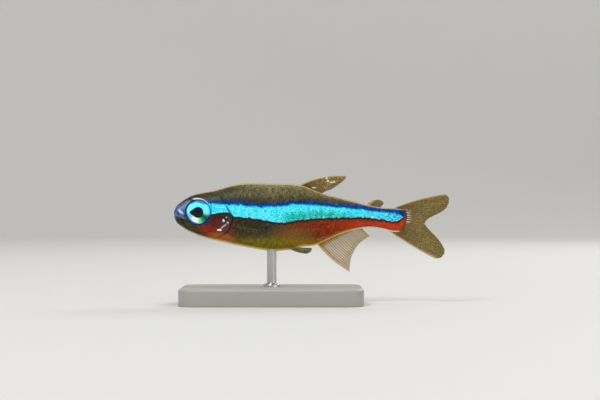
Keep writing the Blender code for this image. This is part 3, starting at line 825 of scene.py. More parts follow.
    def results(self):
        """The colour, glow and surface of the whole fish."""
        dx, dz, away = self.from_eye()
        rim, core, dark_line = self.stripe_masks(away)
        stripe, shine = self.stripe(), self.gill_shine()
        rim_colour = self.mottled(self.patches, self.colours.rim, 0.5, 1.5)
        rim_colour = self.blend(self.fine.step(0.50, 0.60) * 0.55, rim_colour, srgb(14, 84, 188))
        on_snout = self.along.drop(1.5, 2.1) * self.over(SNOUT_TOP).drop(-0.12, 0.12)
        on_snout = on_snout * self.over(SNOUT_FOOT).step(-0.10, 0.10)
        bend = self.height + 0.35
        to_end = bend * bend * 0.213 + self.along + self.fine * 1.1
        ring = away.drop(1.35, 1.43) * away.step(1.2, 1.26) * ((dz * 0.5 + dx).step(0.95, 1.35) * -0.8 + 1)
        # Pale arc over the eye: the lid's skin with a painted highlight
        brow_and_highlight = (dx * 0.28 + dz * 0.96).step(1.10, 1.22) * (dx * 0.07 + away).drop(1.44, 1.54)
        colour = self.painted(
            self.face(),
            ((self.ragged * 0.45 + self.along).step(4.5, 6.0), self.flank()),
            (self.over_rim.step(-0.35, -0.15), self.back()),
            (on_snout, self.snout()),
            (dark_line * 0.92, srgb(4, 34, 36)),
            (to_end.step(SKIN_END, SKIN_END + 0.5) * 0.9, srgb(92, 66, 32)),
            (rim, rim_colour),
            (core, stripe),
            (ring * 0.7, EYE_RING),
            (brow_and_highlight * 0.95, srgb(244, 226, 244)),
            (shine * 0.95, srgb(244, 248, 252)),
            # Painted shade, dark blue black, in the creases, pits and round the eye's socket
            (self.crease * 0.65, srgb(12, 16, 30)),
        )
        # Painted glow: the stripe, the eye's ring, the blue rim and the gill cover's highlights give off
        # light, though none is a lamp
        glow = self.painted(
            BLACK,
            (core * (1 - ring), stripe),
            (ring * 0.5, EYE_RING),
            (rim * (1 - core) * 0.5, rim_colour),
            (shine, srgb(232, 240, 255)),
        )
        return {
            "Color": colour,
            "Glow": glow,
            "Metallic": (core * 0.45).at_least(shine * 0.5),
            "Roughness": self.fine * 0.22 + 0.24,
            "Height": self.noise(self.place, 14.0, 0.6) * 0.6 + self.pepper * 0.4,
        }


def markings_group(name, colours):
    """The markings' results for each point of the skin and scales."""
    graph, given = open_group(name, {"Girth": 0.5, "Scale rim": 0.0, "Scale tint": 0.5, "Crease": 0.0})
    return close_group(graph, Markings(graph.tree, given, colours).results())


def new_material(name):
    """A material, its tree and its shader's inputs."""
    made = bpy.data.materials.new(name)
    made.use_nodes = True
    made.node_tree.nodes.clear()
    graph = Graph(made.node_tree)
    shader = graph.node("ShaderNodeBsdfPrincipled")
    graph.node("ShaderNodeOutputMaterial", {"Surface": Wire(graph, shader.outputs[0])})
    return made, made.node_tree, shader.inputs


def marked_material(name, colours, scaled):
    """Moist skin, or the scales over it, with the fish's markings."""
    made, tree, shader = new_material(name)
    graph = Graph(tree)
    labels = ("Girth", "Scale rim", "Scale tint") if scaled else ("Girth", "Crease")
    inputs = {label: graph.attribute(label.lower().replace(" ", "_")) for label in labels}
    group = shared_group("Tetra markings", markings_group, colours)
    marks = graph.outputs("ShaderNodeGroup", inputs, node_tree=group)
    graph.feed(shader, {
        "Base Color": marks["Color"],
        "Metallic": marks["Metallic"],
        "Roughness": marks["Roughness"],
        # Painted glow from the markings
        "Emission Color": marks["Glow"],
        "Emission Strength": 0.36,
        "Specular IOR Level": 0.12,
        "Coat Weight": 0.05,
        "Coat Roughness": 0.18,
        "Normal": graph.bumps(marks["Height"], (0.012 if scaled else 0.018) * MM),
    })
    return made


# The iris's colours round the eye: place from the front through the top, and screen colour
IRIS = (
    (0.00, (120, 244, 250)), (0.10, (84, 236, 240)), (0.30, (70, 236, 250)), (0.515, (104, 234, 244)),
    (0.56, (34, 104, 88)), (0.61, (6, 44, 30)), (0.655, (24, 124, 76)), (0.70, (84, 196, 120)),
    (0.76, (170, 236, 208)), (0.86, (160, 222, 228)), (0.94, (104, 190, 218)), (1.00, (116, 240, 250)),
)


def eye_material():
    """A blue-green iris with a dark, forward-pointed pupil and a dark outer ring."""
    made, tree, shader = new_material("wet_eye")
    fish = FishGraph(tree)
    dx, dz, radius = fish.from_eye()
    bearing = fish.math("ARCTAN2", dz * -1, dx) * (1 / math.tau) + 0.5
    fibres = fish.noise(fish.joined(bearing * 40.0, radius), 3.0)
    narrow_behind = (dz * 0.5 + dx).step(0.8, 1.2) * 0.14
    wide_in_front = (dx + dz).drop(-1.5, -0.9) * 0.12
    ring = (radius - narrow_behind + wide_in_front).step(1.14, 1.23)
    shine_x, shine_z = dx + 0.32, dz + 0.72
    sparkle = fish.noise(fish.place, 7.0, 0.7).step(0.52, 0.66)
    iris = fish.painted(
        fish.ramp(bearing, IRIS),
        (fibres.step(0.45, 0.75) * 0.35, srgb(20, 160, 190)),
        ((shine_x * shine_x + shine_z * shine_z).drop(0.02, 0.19) * 0.9, srgb(234, 255, 255)),
        (sparkle * 0.40 * dz.step(-0.4, 0.1), srgb(190, 250, 255)),
        (ring, srgb(22, 82, 150)),
        (dz.step(0.75, 0.95) * radius.step(0.95, 1.05) * 0.8, srgb(12, 62, 140)),
    )
    front = fish.math("ARCTAN2", dz, dx * -1) / PUPIL_POINT_WIDTH
    point = fish.math("POWER", math.e, front * front * -1)
    pupil = (radius - (point * PUPIL_POINT + PUPIL_RADIUS)).drop(-0.035, 0.035)
    deep = fish.blend((dz + dx * 0.5).step(0.0, 0.6), srgb(2, 12, 14), srgb(8, 14, 92))
    # Painted glow: outside the pupil the iris gives off its own colour, less at the ring and the top
    lit = (1 - pupil) * (ring * -0.35 + 1) * (dz.step(0.95, 1.15) * -0.7 + 1)
    fish.feed(shader, {
        "Base Color": fish.blend(pupil, iris, deep),
        "Metallic": lit * 0.35,
        "Roughness": fibres * 0.2 + 0.15,
        "Emission Color": fish.blend(lit, BLACK, iris),
        "Emission Strength": 0.34,
        "Specular IOR Level": 0.15,
        "Coat Weight": 0.32,
        "Coat IOR": 1.34,
        "Coat Roughness": 0.04,
        "Normal": fish.bumps(fibres * lit, 0.02 * MM),
    })
    return made


# Pale glints on the dorsal fin: middle and radii
BACK_FIN_GLINTS = (
    (14.62, 2.54, 0.24, 0.07),
    (15.95, 3.52, 0.12, 0.09),
    (16.08, 3.26, 0.13, 0.10),
    (16.42, 3.10, 0.20, 0.08),
    (16.72, 3.16, 0.09, 0.12),
)


def fin_material(name, colour, web_alpha, ray_alpha):
    """See-through skin between fine rays, dusted with dark cells, beaded with pale joints and with painted
    glints.
    """
    made, tree, shader = new_material(name)
    fish = FishGraph(tree)
    ray, reach, joint, edge = (fish.attribute(label) for label in ("ray", "reach", "joint", "edge"))
    along, height, place = fish.along, fish.height, fish.place
    coarse, fine = fish.noise(place, 2.8, 0.6), fish.noise(place, 8.0, 0.6)
    dust = fish.cells(place, 6.0).drop(0.12, 0.32)
    bone = fish.mottled(coarse.step(0.4, 0.7), colour, 1.3, 1.9)
    bone = fish.blend(joint * fine.step(0.42, 0.58), bone, srgb(236, 214, 152))
    on_back = along.drop(18.5, 19.5) * height.step(0.5, 1.0)
    # Painted highlights: pale glints on the outer part of the rays, stronger on the dorsal fin
    glint_flecks = fish.noise(place, 9.0, 0.7, detail=2.0).step(0.55, 0.62) * reach.step(0.25, 0.6)
    # Painted highlights: pale glinting spots where the tail's middle rays leave the flesh
    glint_beads = along.step(23.9, 24.1) * along.drop(24.4, 24.9) * coarse.step(0.38, 0.50)
    glint_beads = glint_beads * height.step(-1.3, -1.0) * height.drop(0.2, 0.4) * ray.step(0.03, 0.2)
    shade = fish.painted(
        fish.mottled(coarse.step(0.35, 0.7), colour, 0.7, 1.1),
        (ray.step(0.10, 0.35), [0.35 * part for part in colour]),
        (ray.step(0.55, 0.80), bone),
        (glint_flecks * (on_back * 0.50 + 0.22), srgb(250, 226, 160)),
        (dust * 0.35, srgb(34, 30, 16)),
        (edge * fine.step(0.30, 0.50) * 0.75, srgb(224, 196, 140)),
        (glint_beads * 0.95, srgb(255, 226, 214)),
        *[(oval(along, height, *glint, soft=0.8) * 0.95, srgb(255, 246, 206)) for glint in BACK_FIN_GLINTS],
    )
    alpha = ray.step(0.05, 0.4) * (ray_alpha - web_alpha) + web_alpha + dust * (0.3 * web_alpha)
    fish.feed(shader, {
        "Base Color": shade,
        "Alpha": fish.math("ADD", alpha, reach.drop(0.04, 0.24) * (0.5 * ray_alpha), clamp=True),
        "Roughness": fine * 0.2 + 0.30,
        "Specular IOR Level": 0.12,
        "Normal": fish.bumps(fine, 0.010 * MM),
    })
    return made


def grain_group(name):
    """Fine mottling and pits of a cast or brushed surface."""
    graph, given = open_group(name, {"Color": (0.5, 0.5, 0.5, 1.0), "Variation": 0.1, "Stretch": 1.0})
    spot = graph.wire("ShaderNodeTexCoord", output="Object")
    x, y, z = graph.split(graph.scaled(spot, 1 / MM, 1 / MM, 1 / MM))
    place = graph.joined(x, y, z * given["Stretch"])
    fleck = graph.noise(place, 6.0, 0.7)
    mottled = graph.noise(place, 0.5, detail=4.0) * 0.6 + fleck * 0.4
    change = (mottled - 0.5) * given["Variation"] + 1
    shaded = graph.wire("ShaderNodeVectorMath", {0: given["Color"], "Scale": change}, operation="SCALE")
    return close_group(graph, {"Color": shaded, "Roughness": mottled, "Height": fleck})


def grain_material(name, colour, variation, stretch, metallic, roughness, depth):
    made, tree, shader = new_material(name)
    graph = Graph(tree)
    inputs = {"Color": colour, "Variation": variation, "Stretch": stretch}
    grain = graph.outputs("ShaderNodeGroup", inputs, node_tree=shared_group("Surface grain", grain_group))
    graph.feed(shader, {
        "Base Color": grain["Color"],
        "Roughness": grain["Roughness"] * 0.25 + roughness,
        "Metallic": metallic,
        "Normal": graph.bumps(grain["Height"], depth),
    })
    return made


# Pieces


class TETRA_OT_skin(bpy.types.Operator):
    """Skin of head, trunk and tail stalk, with mouth, nostrils, sockets and gill covers"""

    bl_idname = "tetra.skin"
    bl_label = "Skin"

    def execute(self, context):
        around, spacing, neck = 248, 0.034, 6.8
        nose = NOSE_ROUND * (1 - np.cos(np.linspace(0, math.pi / 2, 18)))[1:]
        fore = np.arange(NOSE_ROUND + spacing, neck, spacing)
        stations = np.concatenate((nose, fore, np.linspace(neck, SKIN_END, 190)))
        turns = -math.pi + (np.arange(around) + 0.5) * math.tau / around
        points, dark = skin_surface(stations, turns)
        rows, count = len(stations), len(stations) * around
        points = np.concatenate((points.reshape(-1, 3), [(0.0, 0.0, NOSE_LEVEL)], [points[-1].mean(0)]))
        faces = grid_faces(rows, around, closed=True).tolist()
        last = count - around
        for i in range(around):
            after = (i + 1) % around
            faces += [(count, after, i), (count + 1, last + i, last + after)]
        down = np.concatenate((np.tile(np.abs(turns) / math.pi, rows), (0.5, 0.5)))
        # Painted shade of the creases, pits and sockets, kept at each point
        crease = np.concatenate((dark.ravel(), (0.0, 0.0)))
        mesh = fish_mesh("body_skin", points, faces, {"crease": crease, "girth": down})
        along = np.concatenate((np.repeat(stations / SKIN_END, around), (0.0, 1.0)))
        bearing = np.concatenate((np.tile((turns + math.pi) / math.tau, rows), (0.5, 0.5)))
        self.unwrap(mesh, along, bearing, around)
        look = marked_material("moist_skin", context.scene.tetra_colours, scaled=False)
        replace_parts(riding(mesh, look), "head", "trunk", "tail_stalk")
        return {"FINISHED"}

    def unwrap(self, mesh, along, bearing, around):
        """Lays the skin out flat, parted along the belly."""
        corners = corner_points(mesh)
        bearing = bearing[corners]
        sides = np.zeros(len(mesh.polygons), np.int32)
        mesh.polygons.foreach_get("loop_total", sides)
        starts = np.cumsum(sides) - sides
        span = np.maximum.reduceat(bearing, starts) - np.minimum.reduceat(bearing, starts)
        over_the_part = (np.repeat(span, sides) > 0.6) & (bearing < 0.3)
        lay_out(mesh, np.stack((along[corners], (bearing + over_the_part) / (1 + 1 / around)), axis=1))


def turn_table():
    """For places along the body, the turn at each share of the way down its side, measured along the skin."""
    stations, turns = np.linspace(TABLE_START, SKIN_END, 100), np.linspace(0, math.pi, 241)
    points = body_points(stations[:, None], turns[None, :])
    steps = np.linalg.norm(np.diff(points, axis=1), axis=2)
    arcs = np.concatenate((np.zeros((len(stations), 1)), np.cumsum(steps, axis=1)), axis=1)
    shares = np.linspace(0, 1, 81)
    return stations, np.stack([np.interp(shares, arc / arc[-1], turns) for arc in arcs])


def turn_at(table, x, share):
    """The turn at a share of the way down the side; shares below 0 or above 1 pass over the ridges."""
    stations, turns = table
    folded = np.where(share > 1, 2 - share, np.abs(share))
    row = np.clip((x - stations[0]) / (stations[1] - stations[0]), 0, len(stations) - 1.001)
    column = np.clip(folded * (turns.shape[1] - 1), 0, turns.shape[1] - 1.001)
    r, c = row.astype(int), column.astype(int)
    row, column = row - r, column - c
    found = (turns[r, c] * (1 - column) + turns[r, c + 1] * column) * (1 - row)
    found += (turns[r + 1, c] * (1 - column) + turns[r + 1, c + 1] * column) * row
    return np.where(share > 1, math.tau - found, np.sign(share) * found)


class TETRA_OT_scales(bpy.types.Operator):
    """Overlapping scales over the trunk and tail stalk"""

    bl_idname = "tetra.scales"
    bl_label = "Scales"

    def execute(self, context):
        look = marked_material("scale_coat", context.scene.tetra_colours, scaled=True)
        table = turn_table()
        for word, side, seed in (("left", -1, 11), ("right", 1, 12)):
            mesh = self.coat(context.scene.tetra_sizes, f"scale_coat_{word}", side, seed, table)
            riding(mesh, look, 50)
        return {"FINISHED"}

    def roots(self, sizes, draw, table, side):
        """Each scale's place along, share of the way down, length, and distance behind the gills.

        The left side has the ridges' scales too.
        """
        stops = [FIRST_SCALE]
        while stops[-1] < SKIN_END - 0.12:
            share = (stops[-1] - 5) / (STANDARD_LENGTH - 5)
            pitch = sizes.front_scale + (sizes.rear_scale - sizes.front_scale) * share
            stops.append(stops[-1] + pitch / 2 / MM)
        rows = range(0, sizes.scale_rows + 1) if side < 0 else range(1, sizes.scale_rows)
        found = []
        for row in rows:
            for i in range(row % 2, len(stops) - 2, 2):
                x = stops[i] + draw.normal(0, 0.008)
                down = row / sizes.scale_rows + draw.normal(0, 0.0015)
                found.append((x, down, (stops[i + 2] - stops[i]) * draw.uniform(0.97, 1.05)))
        x, down, length = np.array(found).T
        spots = body_points(x, turn_at(table, x, down))
        behind = behind_gills(spots[:, 0], spots[:, 2])
        return np.array((x, down, length, behind))[:, behind > GILL_GAP + 0.03]

    def coat(self, sizes, name, side, seed, table):
        """All the scales of a side; u runs to each scale's rear edge and v across it."""
        draw = np.random.default_rng(seed)
        start, down, length, behind = self.roots(sizes, draw, table, side)[..., None, None]
        count, (long, wide) = len(start), SCALE_GRID
        v = np.sin(np.linspace(-math.pi / 2, math.pi / 2, wide))
        rear = -0.02 + SCALE_REAR * (1 - np.abs(v) ** 2.3) ** 0.62
        front = -np.clip((behind - GILL_GAP) / length, 0.04, SCALE_FRONT)
        u = front + (rear - front) * np.linspace(0, 1, long)[:, None]
        v = np.broadcast_to(v, u.shape)
        x = np.clip(start + u * length, TABLE_START + 0.05, SKIN_END - 0.02)
        turn = turn_at(table, x, down + v * 0.98 / sizes.scale_rows) * side
        skin, facing = body_points(x, turn), normals_of(x, turn)
        grown = 0.45 + 0.55 * ease(behind, 0.2, 1.6)
        lift = sizes.scale_lift / MM * grown * draw.uniform(0.85, 1.15, count)[:, None, None]
        from_front = u + SCALE_FRONT
        rise = (lift + 0.03) * (0.30 * from_front + 0.50 * from_front**2) - 0.010 * v**2
        rise = rise - COAT_DEPTH - 0.015
        near = behind.ravel() < 1.5
        rise[near] -= 0.14 * ease(behind_gills(skin[near][..., 0], skin[near][..., 2]), 0.26, 0.14)
        rise = np.stack((rise, rise - SCALE_THICKNESS), axis=1)[..., None]
        points = skin[:, None] + facing[:, None] * rise
        starts = np.arange(count) * 2 * long * wide
        faces = (sheet_faces(long, wide, flip=side > 0) + starts[:, None, None]).reshape(-1, 4)
        labels = {
            "scale_rim": self.twice(1 - ease(rear - u, 0.02, 0.16)),
            "scale_tint": np.repeat(draw.uniform(0, 1, count), 2 * long * wide),
            "girth": self.twice(np.minimum(np.abs(turn), math.tau - np.abs(turn)) / math.pi),
        }
        mesh = fish_mesh(name, points, faces.tolist(), labels)
        turn = turn_at(table, start, down) * side
        turn = np.where(turn < -math.pi, turn + math.tau, turn)
        root_spot = np.stack((start / SKIN_END, (turn + math.pi) / math.tau), axis=-1)
        spots = np.clip(root_spot + np.stack((u / 1.2, v / 2.0), axis=-1) * 0.003, 0.0, 1.0)
        lay_out(mesh, self.twice(spots).reshape(-1, 2)[corner_points(mesh)])
        return mesh

    def twice(self, values):
        """A scale's values, for its upper and its lower side."""
        return np.stack((values, values), axis=1)


class TETRA_OT_eyes(bpy.types.Operator):
    """Both eyes, low domes with a sunk iris and a raised lens"""

    bl_idname = "tetra.eyes"
    bl_label = "Eyes"

    def execute(self, context):
        look = eye_material()
        rings, spokes = 44, 96
        share = np.linspace(0.02, 1, rings)[:, None]
        bearing = np.arange(spokes) * math.tau / spokes
        pupil = PUPIL_RADIUS + PUPIL_POINT * hump(bearing, math.pi, PUPIL_POINT_WIDTH)
        r = share * EYE_RADIUS
        dome = EYE_BULGE * (1 - share**2.8) ** 0.5
        iris_dip = 0.035 * ease(r, pupil - 0.10, pupil + 0.06) * ease(r, 1.16, 1.02)
        lens = 0.04 * np.clip(1 - (r / 0.6) ** 2, 0, 1)
        x, z = EYE_X + r * np.cos(bearing), EYE_Z + r * np.sin(bearing)
        back = -EYE_DEPTH * (1 - share**2) ** 0.5 + np.zeros(spokes)
        for word, side in (("left", -1), ("right", 1)):
            bulges = (dome - iris_dip + lens, back)
            front, rear = (np.stack((x, side * (EYE_OUT + bulge), z), axis=-1) for bulge in bulges)
            points = np.concatenate((front, rear[-2::-1]))
            faces = tube_faces(2 * rings - 1, spokes)
            faces = [face[::-1] for face in faces] if side < 0 else faces
            eyeball = riding(fish_mesh(f"eyeball_{word}", points, faces, {}), look)
            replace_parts(eyeball, f"eye_{word}")
        return {"FINISHED"}


def fin_piece(
    name, look, sizes, roots, margin, bows, rays, seed,
    facing=None, rows=60, branch=0.5, side=1, fleshy=0.0, thin=1.0, pale_edges=(1, 0),
):
    """A fin: a thin web with branching, jointed rays raised on both faces.

    roots and margin run from the first ray to the last along the base and the outer edge. bows
    pull the middle of the first and the last ray sideways. facing is the way the web faces.
    pale_edges tells how pale the first and the last ray are.
    """
    draw = np.random.default_rng(seed)
    columns = rays * POINTS_PER_RAY + 1
    share, step = np.linspace(0, 1, columns)[:, None], np.linspace(0, 1, rows)
    flipped = np.array((1, side, 1))
    base, outer = (smooth_line(np.array(line) * flipped, columns) for line in (roots, margin))
    bows = np.array(bows) * flipped
    pull = (base + outer) / 2 + bows[0] + (bows[1] - bows[0]) * share

    phase = share * rays - 0.5
    nearest = np.clip(np.round(phase), 0, rays - 1).astype(int)
    forks = draw.uniform(branch - 0.08, branch + 0.10, rays)
    forks[:2] = forks[-1] = 2.0
    spread = 0.20 * ease(step, forks[nearest], 1.15)
    width = 0.13 - 0.05 * step
    ridge = np.maximum(hump(phase - nearest, spread, width), hump(phase - nearest, -spread, width))
    first = slice(POINTS_PER_RAY // 2)
    ridge[first] = np.maximum(ridge[first], 0.9)
    ridge = ridge * (1 - fleshy)

    u = step * (1 - WEB_NOTCH * (1 - ridge[:, -1:]) - draw.uniform(0, 0.004, columns)[:, None])
    w = u[..., None]
    place = base[:, None] * (1 - w) ** 2 + pull[:, None] * 2 * w * (1 - w) + outer[:, None] * w**2
    length = np.linalg.norm(outer - base, axis=1)[:, None]
    beat = (u * length / JOINT_LENGTH + draw.uniform(0, 1, rays)[nearest]) * math.tau
    joint = (0.5 + 0.5 * np.cos(beat)) ** 4 * ease(u, 0.12, 0.3) * ridge
    normal = np.cross(*np.gradient(place, axis=(0, 1)))
    if facing is not None:
        normal[:] = facing
    normal = unit(normal)
    place = place + normal * (WEB_WAVE * np.cos(math.tau * phase) * u * ease(u, 0, 0.5))[..., None]
    web, bone = sizes.web_thickness / MM / 2, (sizes.ray_thickness - sizes.web_thickness) / MM / 2
    half = (web * (1 - 0.55 * u) + bone * ridge * (1 - 0.75 * u) * (1 - 0.30 * joint)) * thin
    offset = normal * half[..., None]
    pale = [edge * ease(away * rays, 0.9, 0.5) for edge, away in zip(pale_edges, (share, 1 - share))]
    pale = np.broadcast_to(np.maximum(*pale), u.shape)
    labels = {"ray": ridge, "reach": u, "joint": joint, "edge": pale}
    labels = {label: np.stack((values, values)) for label, values in labels.items()}
    points = np.stack((place + offset, place - offset))
    return riding(fish_mesh(name, points, sheet_faces(columns, rows).tolist(), labels), look)


def along_outline(edge, start, end, shift):
    """Places along and up on the back or the belly, moved up by some millimetres."""
    x = np.linspace(start, end, 4)
    return np.stack((x, outline_at(x)[edge] + shift), axis=1)


def middle_fin(name, look, sizes, roots, margin, bows, rays, seed, **shape):
    """A fin of the middle plane, from places along and up."""
    lines = [[(x, 0, z) for x, z in line] for line in (roots, margin, bows)]
    return fin_piece(name, look, sizes, *lines, rays, seed, facing=(0, 1, 0), **shape)


class TETRA_OT_median_fins(bpy.types.Operator):
    """Dorsal, adipose, anal and tail fins, in the fish's middle plane"""

    bl_idname = "tetra.median_fins"
    bl_label = "Median fins"

    def execute(self, context):
        sizes, colours = context.scene.tetra_sizes, context.scene.tetra_colours
        look = fin_material("fin_web", colours.fin, 0.72, 0.96)
        clear = fin_material("clear_fin_web", colours.anal, 0.26, 0.95)

        roots = along_outline(BACK, 12.75, 15.2, -0.3)
        margin = ((17.96, 3.77), (18.00, 3.58), (17.80, 3.32), (17.12, 2.80), (16.40, 2.35))
        bows = ((-0.28, 0.74), (0, 0.15))
        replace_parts(middle_fin("fin_dorsal", look, sizes, roots, margin, bows, 11, 21), "dorsal_fin")

        roots = along_outline(BACK, 20.0, 21.35, -0.25)
        margin = ((20.95, 1.24), (21.35, 1.28), (21.75, 1.14), (21.90, 0.90))
        bows = ((-0.20, 0.22), (0.10, 0.05))
        shape = {"rows": 24, "branch": 1.5, "fleshy": 0.85}
        adipose = middle_fin("fin_adipose", look, sizes, roots, margin, bows, 3, 22, **shape)
        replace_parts(adipose, "adipose_fin")

        roots = along_outline(BELLY, 14.8, 19.4, 0.3)
        margin = ((18.35, -6.26), (18.42, -5.30), (18.75, -4.20), (19.45, -3.20), (20.45, -2.50))
        bows = ((-0.30, -0.40), (0, -0.05))
        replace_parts(middle_fin("fin_anal", clear, sizes, roots, margin, bows, 20, 23), "anal_fin")

        roots = ((22.6, 0.25), (23.2, 0.0), (23.5, -0.55), (23.55, -0.95), (23.4, -1.4), (22.4, -1.95))
        margin = (
            (28.28, 1.84), (28.64, 1.68), (28.78, 1.32), (28.70, 0.86), (28.42, 0.36), (27.80, -0.08),
            (27.05, -0.44), (26.42, -0.84), (26.20, -1.21), (26.32, -1.45), (26.75, -1.95), (27.40, -2.60),
            (28.00, -3.35), (28.32, -4.10), (28.17, -4.54), (27.86, -4.80), (27.33, -4.90),
        )
        bows = ((0, 0.45), (0, -0.28))
        shape = {"rows": 76, "branch": 0.45, "pale_edges": (0.4, 1)}
        tail = middle_fin("fin_tail", look, sizes, roots, margin, bows, 21, 24, **shape)
        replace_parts(tail, "tail_fin_upper", "tail_fin_lower")
        return {"FINISHED"}


class TETRA_OT_paired_fins(bpy.types.Operator):
    """Pelvic and pectoral fins of both sides"""

    bl_idname = "tetra.paired_fins"
    bl_label = "Paired fins"

    def execute(self, context):
        sizes, colour = context.scene.tetra_sizes, context.scene.tetra_colours.fin
        look = fin_material("thin_fin_web", colour, 0.38, 0.66)
        glassy = fin_material("glassy_fin_web", colour, 0.04, 0.10)
        for word, side, seed in (("left", -1, 31), ("right", 1, 32)):
            shape = {"side": side, "thin": 0.5, "pale_edges": (0, 0)}
            roots = ((11.15, 0.85, -3.20), (11.65, 0.35, -3.45))
            margin = ((13.90, 1.05, -4.34), (14.32, 0.98, -4.10), (14.42, 0.88, -3.76))
            bows = ((-0.1, 0.25, -0.50), (-0.1, 0.25, -0.15))
            name = f"fin_pelvic_{word}"
            pelvic = fin_piece(name, look, sizes, roots, margin, bows, 9, seed, rows=44, **shape)
            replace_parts(pelvic, f"pelvic_fin_{word}")
            roots = ((5.85, 1.05, -1.25), (5.65, 0.95, -2.05))
            margin = ((9.20, 2.65, -1.90), (9.25, 2.60, -2.40), (8.85, 2.45, -2.90), (8.20, 2.25, -3.15))
            bows = ((-0.3, 0.55, 0.1), (-0.2, 0.45, -0.1))
            name = f"fin_pectoral_{word}"
            pectoral = fin_piece(name, glassy, sizes, roots, margin, bows, 12, seed + 4, rows=52, **shape)
            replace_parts(pectoral, f"pectoral_fin_{word}")
        return {"FINISHED"}


def turned_mesh(name, profile, centre, spokes, open_top=False):
    """A mesh turned round an upright line from (radius, height) pairs in metres."""
    angle = np.arange(spokes) * math.tau / spokes
    ring = np.stack((np.cos(angle), np.sin(angle)), axis=1)
    points = np.concatenate([np.column_stack((centre + ring * r, np.full(spokes, h))) for r, h in profile])
    faces = tube_faces(len(profile), spokes)
    mesh = bpy.data.meshes.new(name)
    mesh.from_pydata(points.tolist(), [], faces[:-1] if open_top else faces)
    return mesh


class TETRA_OT_stand(bpy.types.Operator):
    """Cast resin base and turned steel rod"""

    bl_idname = "tetra.stand"
    bl_label = "Stand"

    def execute(self, context):
        sizes, colours = context.scene.tetra_sizes, context.scene.tetra_colours
        resin = grain_material("cast_resin", colours.base, 0.16, 1.0, 0.0, 0.30, 0.02 * MM)
        steel = grain_material("turned_steel", colours.rod, 0.20, 0.12, 1.0, 0.16, 0.006 * MM)
        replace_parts(riding(self.base(sizes), resin, 35), "stand_base")
        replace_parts(riding(self.rod(), steel, 50), "stand_rod")
        return {"FINISHED"}

    def base(self, sizes):
        """A block with rounded corners and eased upper and lower edges."""
        bm = bmesh.new()
        bmesh.ops.create_cube(bm, size=1.0)
        bmesh.ops.scale(bm, vec=BASE_HIGH - BASE_LOW, verts=bm.verts)
        bmesh.ops.translate(bm, vec=(BASE_LOW + BASE_HIGH) / 2, verts=bm.verts)
        bevels = (
            (BASE_LOW.z, BASE_HIGH.z, sizes.base_corner, 20),
            (BASE_HIGH.z, BASE_HIGH.z, sizes.base_edge, 7),
            (BASE_LOW.z, BASE_LOW.z, sizes.base_edge / 3, 3),
        )
        for low, high, radius, segments in bevels:
            ends = [(edge, sorted(point.co.z for point in edge.verts)) for edge in bm.edges]
            chosen = [edge for edge, (foot, top) in ends if abs(foot - low) < 1e-6 and abs(top - high) < 1e-6]
            bmesh.ops.bevel(bm, geom=chosen, offset=radius, segments=segments, profile=0.5, affect="EDGES")
        mesh = bpy.data.meshes.new("display_base")
        bm.to_mesh(mesh)
        bm.free()
        return mesh

    def rod(self):
        """A rod with a collar at its foot, reaching into the belly."""
        radius = (ROD_HIGH.x - ROD_LOW.x) / 2
        foot, top, collar = BASE_HIGH.z, ROD_HIGH.z + 0.45 * MM, 0.34 * MM
        turned = ((1.75, 0.55), (1.68, 0.82), (1.50, 1.0), (1.12, 1.02), (1.02, 1.12), (1.0, 1.4))
        profile = [
            (radius * 1.75, foot - 0.2 * MM),
            *[(radius * wide, foot + collar * high) for wide, high in turned],
            *[(radius, foot + (top - foot) * share) for share in np.linspace(0.25, 0.9, 10)],
            (radius, top),
        ]
        return turned_mesh("display_rod", profile, np.array(((ROD_LOW + ROD_HIGH) / 2).xy), 64)


# Stage

PICTURE = (600, 400)
SNOUT_PIXEL = (174, 212)
LENGTH_IN_PIXELS = 230  # from the snout to the base of the tail
PIXEL = STANDARD_LENGTH / LENGTH_IN_PIXELS * MM
# Name, place from the middle of the fish, size and power
LIGHTS = (
    ("key", (-0.13, -0.20, 0.24), 0.12, 0.44),
    ("fill", (0.24, -0.20, 0.10), 0.20, 0.14),
    ("rim", (0.16, 0.20, 0.16), 0.12, 0.25),
)


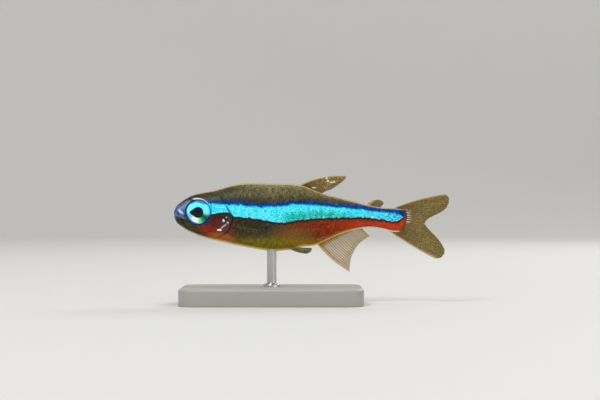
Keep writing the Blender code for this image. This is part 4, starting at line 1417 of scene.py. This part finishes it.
class TETRA_OT_stage(bpy.types.Operator):
    """Pale floor and backdrop, soft lights and the camera"""

    bl_idname = "tetra.stage"
    bl_label = "Stage"

    def execute(self, context):
        settings = context.scene.tetra_stage
        self.backdrop(settings)
        middle = Vector((SNOUT[0] + 0.014, 0, SNOUT[2]))
        for name, spot, size, power in LIGHTS:
            light = bpy.data.lights.new(name, "AREA")
            light.shape = "DISK"
            light.size = size
            light.energy = power * settings.light
            turn = (-Vector(spot)).to_track_quat("-Z", "Y").to_euler()
            self.place(context, name, light, middle + Vector(spot), turn)
        lantern = bpy.data.lights.new("lantern", "POINT")
        lantern.shadow_soft_size = 0.10
        lantern.energy = 2.6 * settings.light
        self.place(context, "lantern", lantern, (0.02, 0.02, 0.42))
        world = bpy.data.worlds.new("studio")
        world.use_nodes = True
        sky = world.node_tree.nodes["Background"].inputs
        sky["Color"].default_value = (0.92, 0.95, 1.0, 1.0)
        sky["Strength"].default_value = 0.26 * settings.light
        context.scene.world = world
        context.scene.view_settings.view_transform = "Standard"
        self.camera(context, settings)
        return {"FINISHED"}

    def place(self, context, name, data, location, turn=(0, 0, 0)):
        made = bpy.data.objects.new(name, data)
        made.location = location
        made.rotation_euler = turn
        context.scene.collection.objects.link(made)
        return made

    def backdrop(self, settings):
        """A round floor that curves up into a wall on every side."""
        flat, bend, height = 0.30, 0.16, 0.50
        arc = np.linspace(0, math.pi / 2, 24)
        profile = [(0.001, 0.0), (flat / 2, 0.0)]
        profile += [(flat + bend * math.sin(a), bend * (1 - math.cos(a))) for a in arc]
        profile.append((flat + bend, height))
        look = grain_material("paper_sweep", settings.floor, 0.02, 1.0, 0.0, 0.55, 0.004 * MM)
        finished(turned_mesh("backdrop", profile, np.zeros(2), 128, open_top=True), look)

    def camera(self, context, settings):
        """Level with the fish and square to its side, framed as the picture is."""
        lens = bpy.data.cameras.new("camera")
        lens.lens = settings.lens
        lens.sensor_width = 36.0
        lens.clip_start = 0.005
        distance = PICTURE[0] * PIXEL * settings.lens / lens.sensor_width
        across = (PICTURE[0] / 2 - SNOUT_PIXEL[0]) * PIXEL
        up = (SNOUT_PIXEL[1] - PICTURE[1] / 2) * PIXEL
        spot = (SNOUT[0] + across, -distance, SNOUT[2] + up)
        context.scene.camera = self.place(context, "camera", lens, spot, (math.pi / 2, 0, 0))


class TETRA_PT_panel(bpy.types.Panel):
    """Lists the pieces and their settings"""

    bl_idname = "TETRA_PT_panel"
    bl_label = "Green Neon Tetra"
    bl_space_type = "VIEW_3D"
    bl_region_type = "UI"
    bl_category = "Neon Tetra"

    def draw(self, context):
        for operator in OPERATORS:
            self.layout.operator(operator.bl_idname)
        for settings in (context.scene.tetra_sizes, context.scene.tetra_colours, context.scene.tetra_stage):
            box = self.layout.box()
            for name in settings.__annotations__:
                box.prop(settings, name)


SETTINGS = (("tetra_sizes", TetraSizes), ("tetra_colours", TetraColours), ("tetra_stage", StageSettings))
OPERATORS = (
    TETRA_OT_skin,
    TETRA_OT_scales,
    TETRA_OT_eyes,
    TETRA_OT_median_fins,
    TETRA_OT_paired_fins,
    TETRA_OT_stand,
    TETRA_OT_stage,
)


def register():
    for _, settings in SETTINGS:
        bpy.utils.register_class(settings)
    for operator in OPERATORS:
        bpy.utils.register_class(operator)
    bpy.utils.register_class(TETRA_PT_panel)
    for name, settings in SETTINGS:
        setattr(bpy.types.Scene, name, PointerProperty(type=settings))


def unregister():
    for name, _ in SETTINGS:
        delattr(bpy.types.Scene, name)
    bpy.utils.unregister_class(TETRA_PT_panel)
    for operator in reversed(OPERATORS):
        bpy.utils.unregister_class(operator)
    for _, settings in reversed(SETTINGS):
        bpy.utils.unregister_class(settings)


def main():
    register()
    bpy.ops.tetra.skin()
    bpy.ops.tetra.scales()
    bpy.ops.tetra.eyes()
    bpy.ops.tetra.median_fins()
    bpy.ops.tetra.paired_fins()
    bpy.ops.tetra.stand()
    bpy.ops.tetra.stage()


if __name__ == "__main__":
    main()
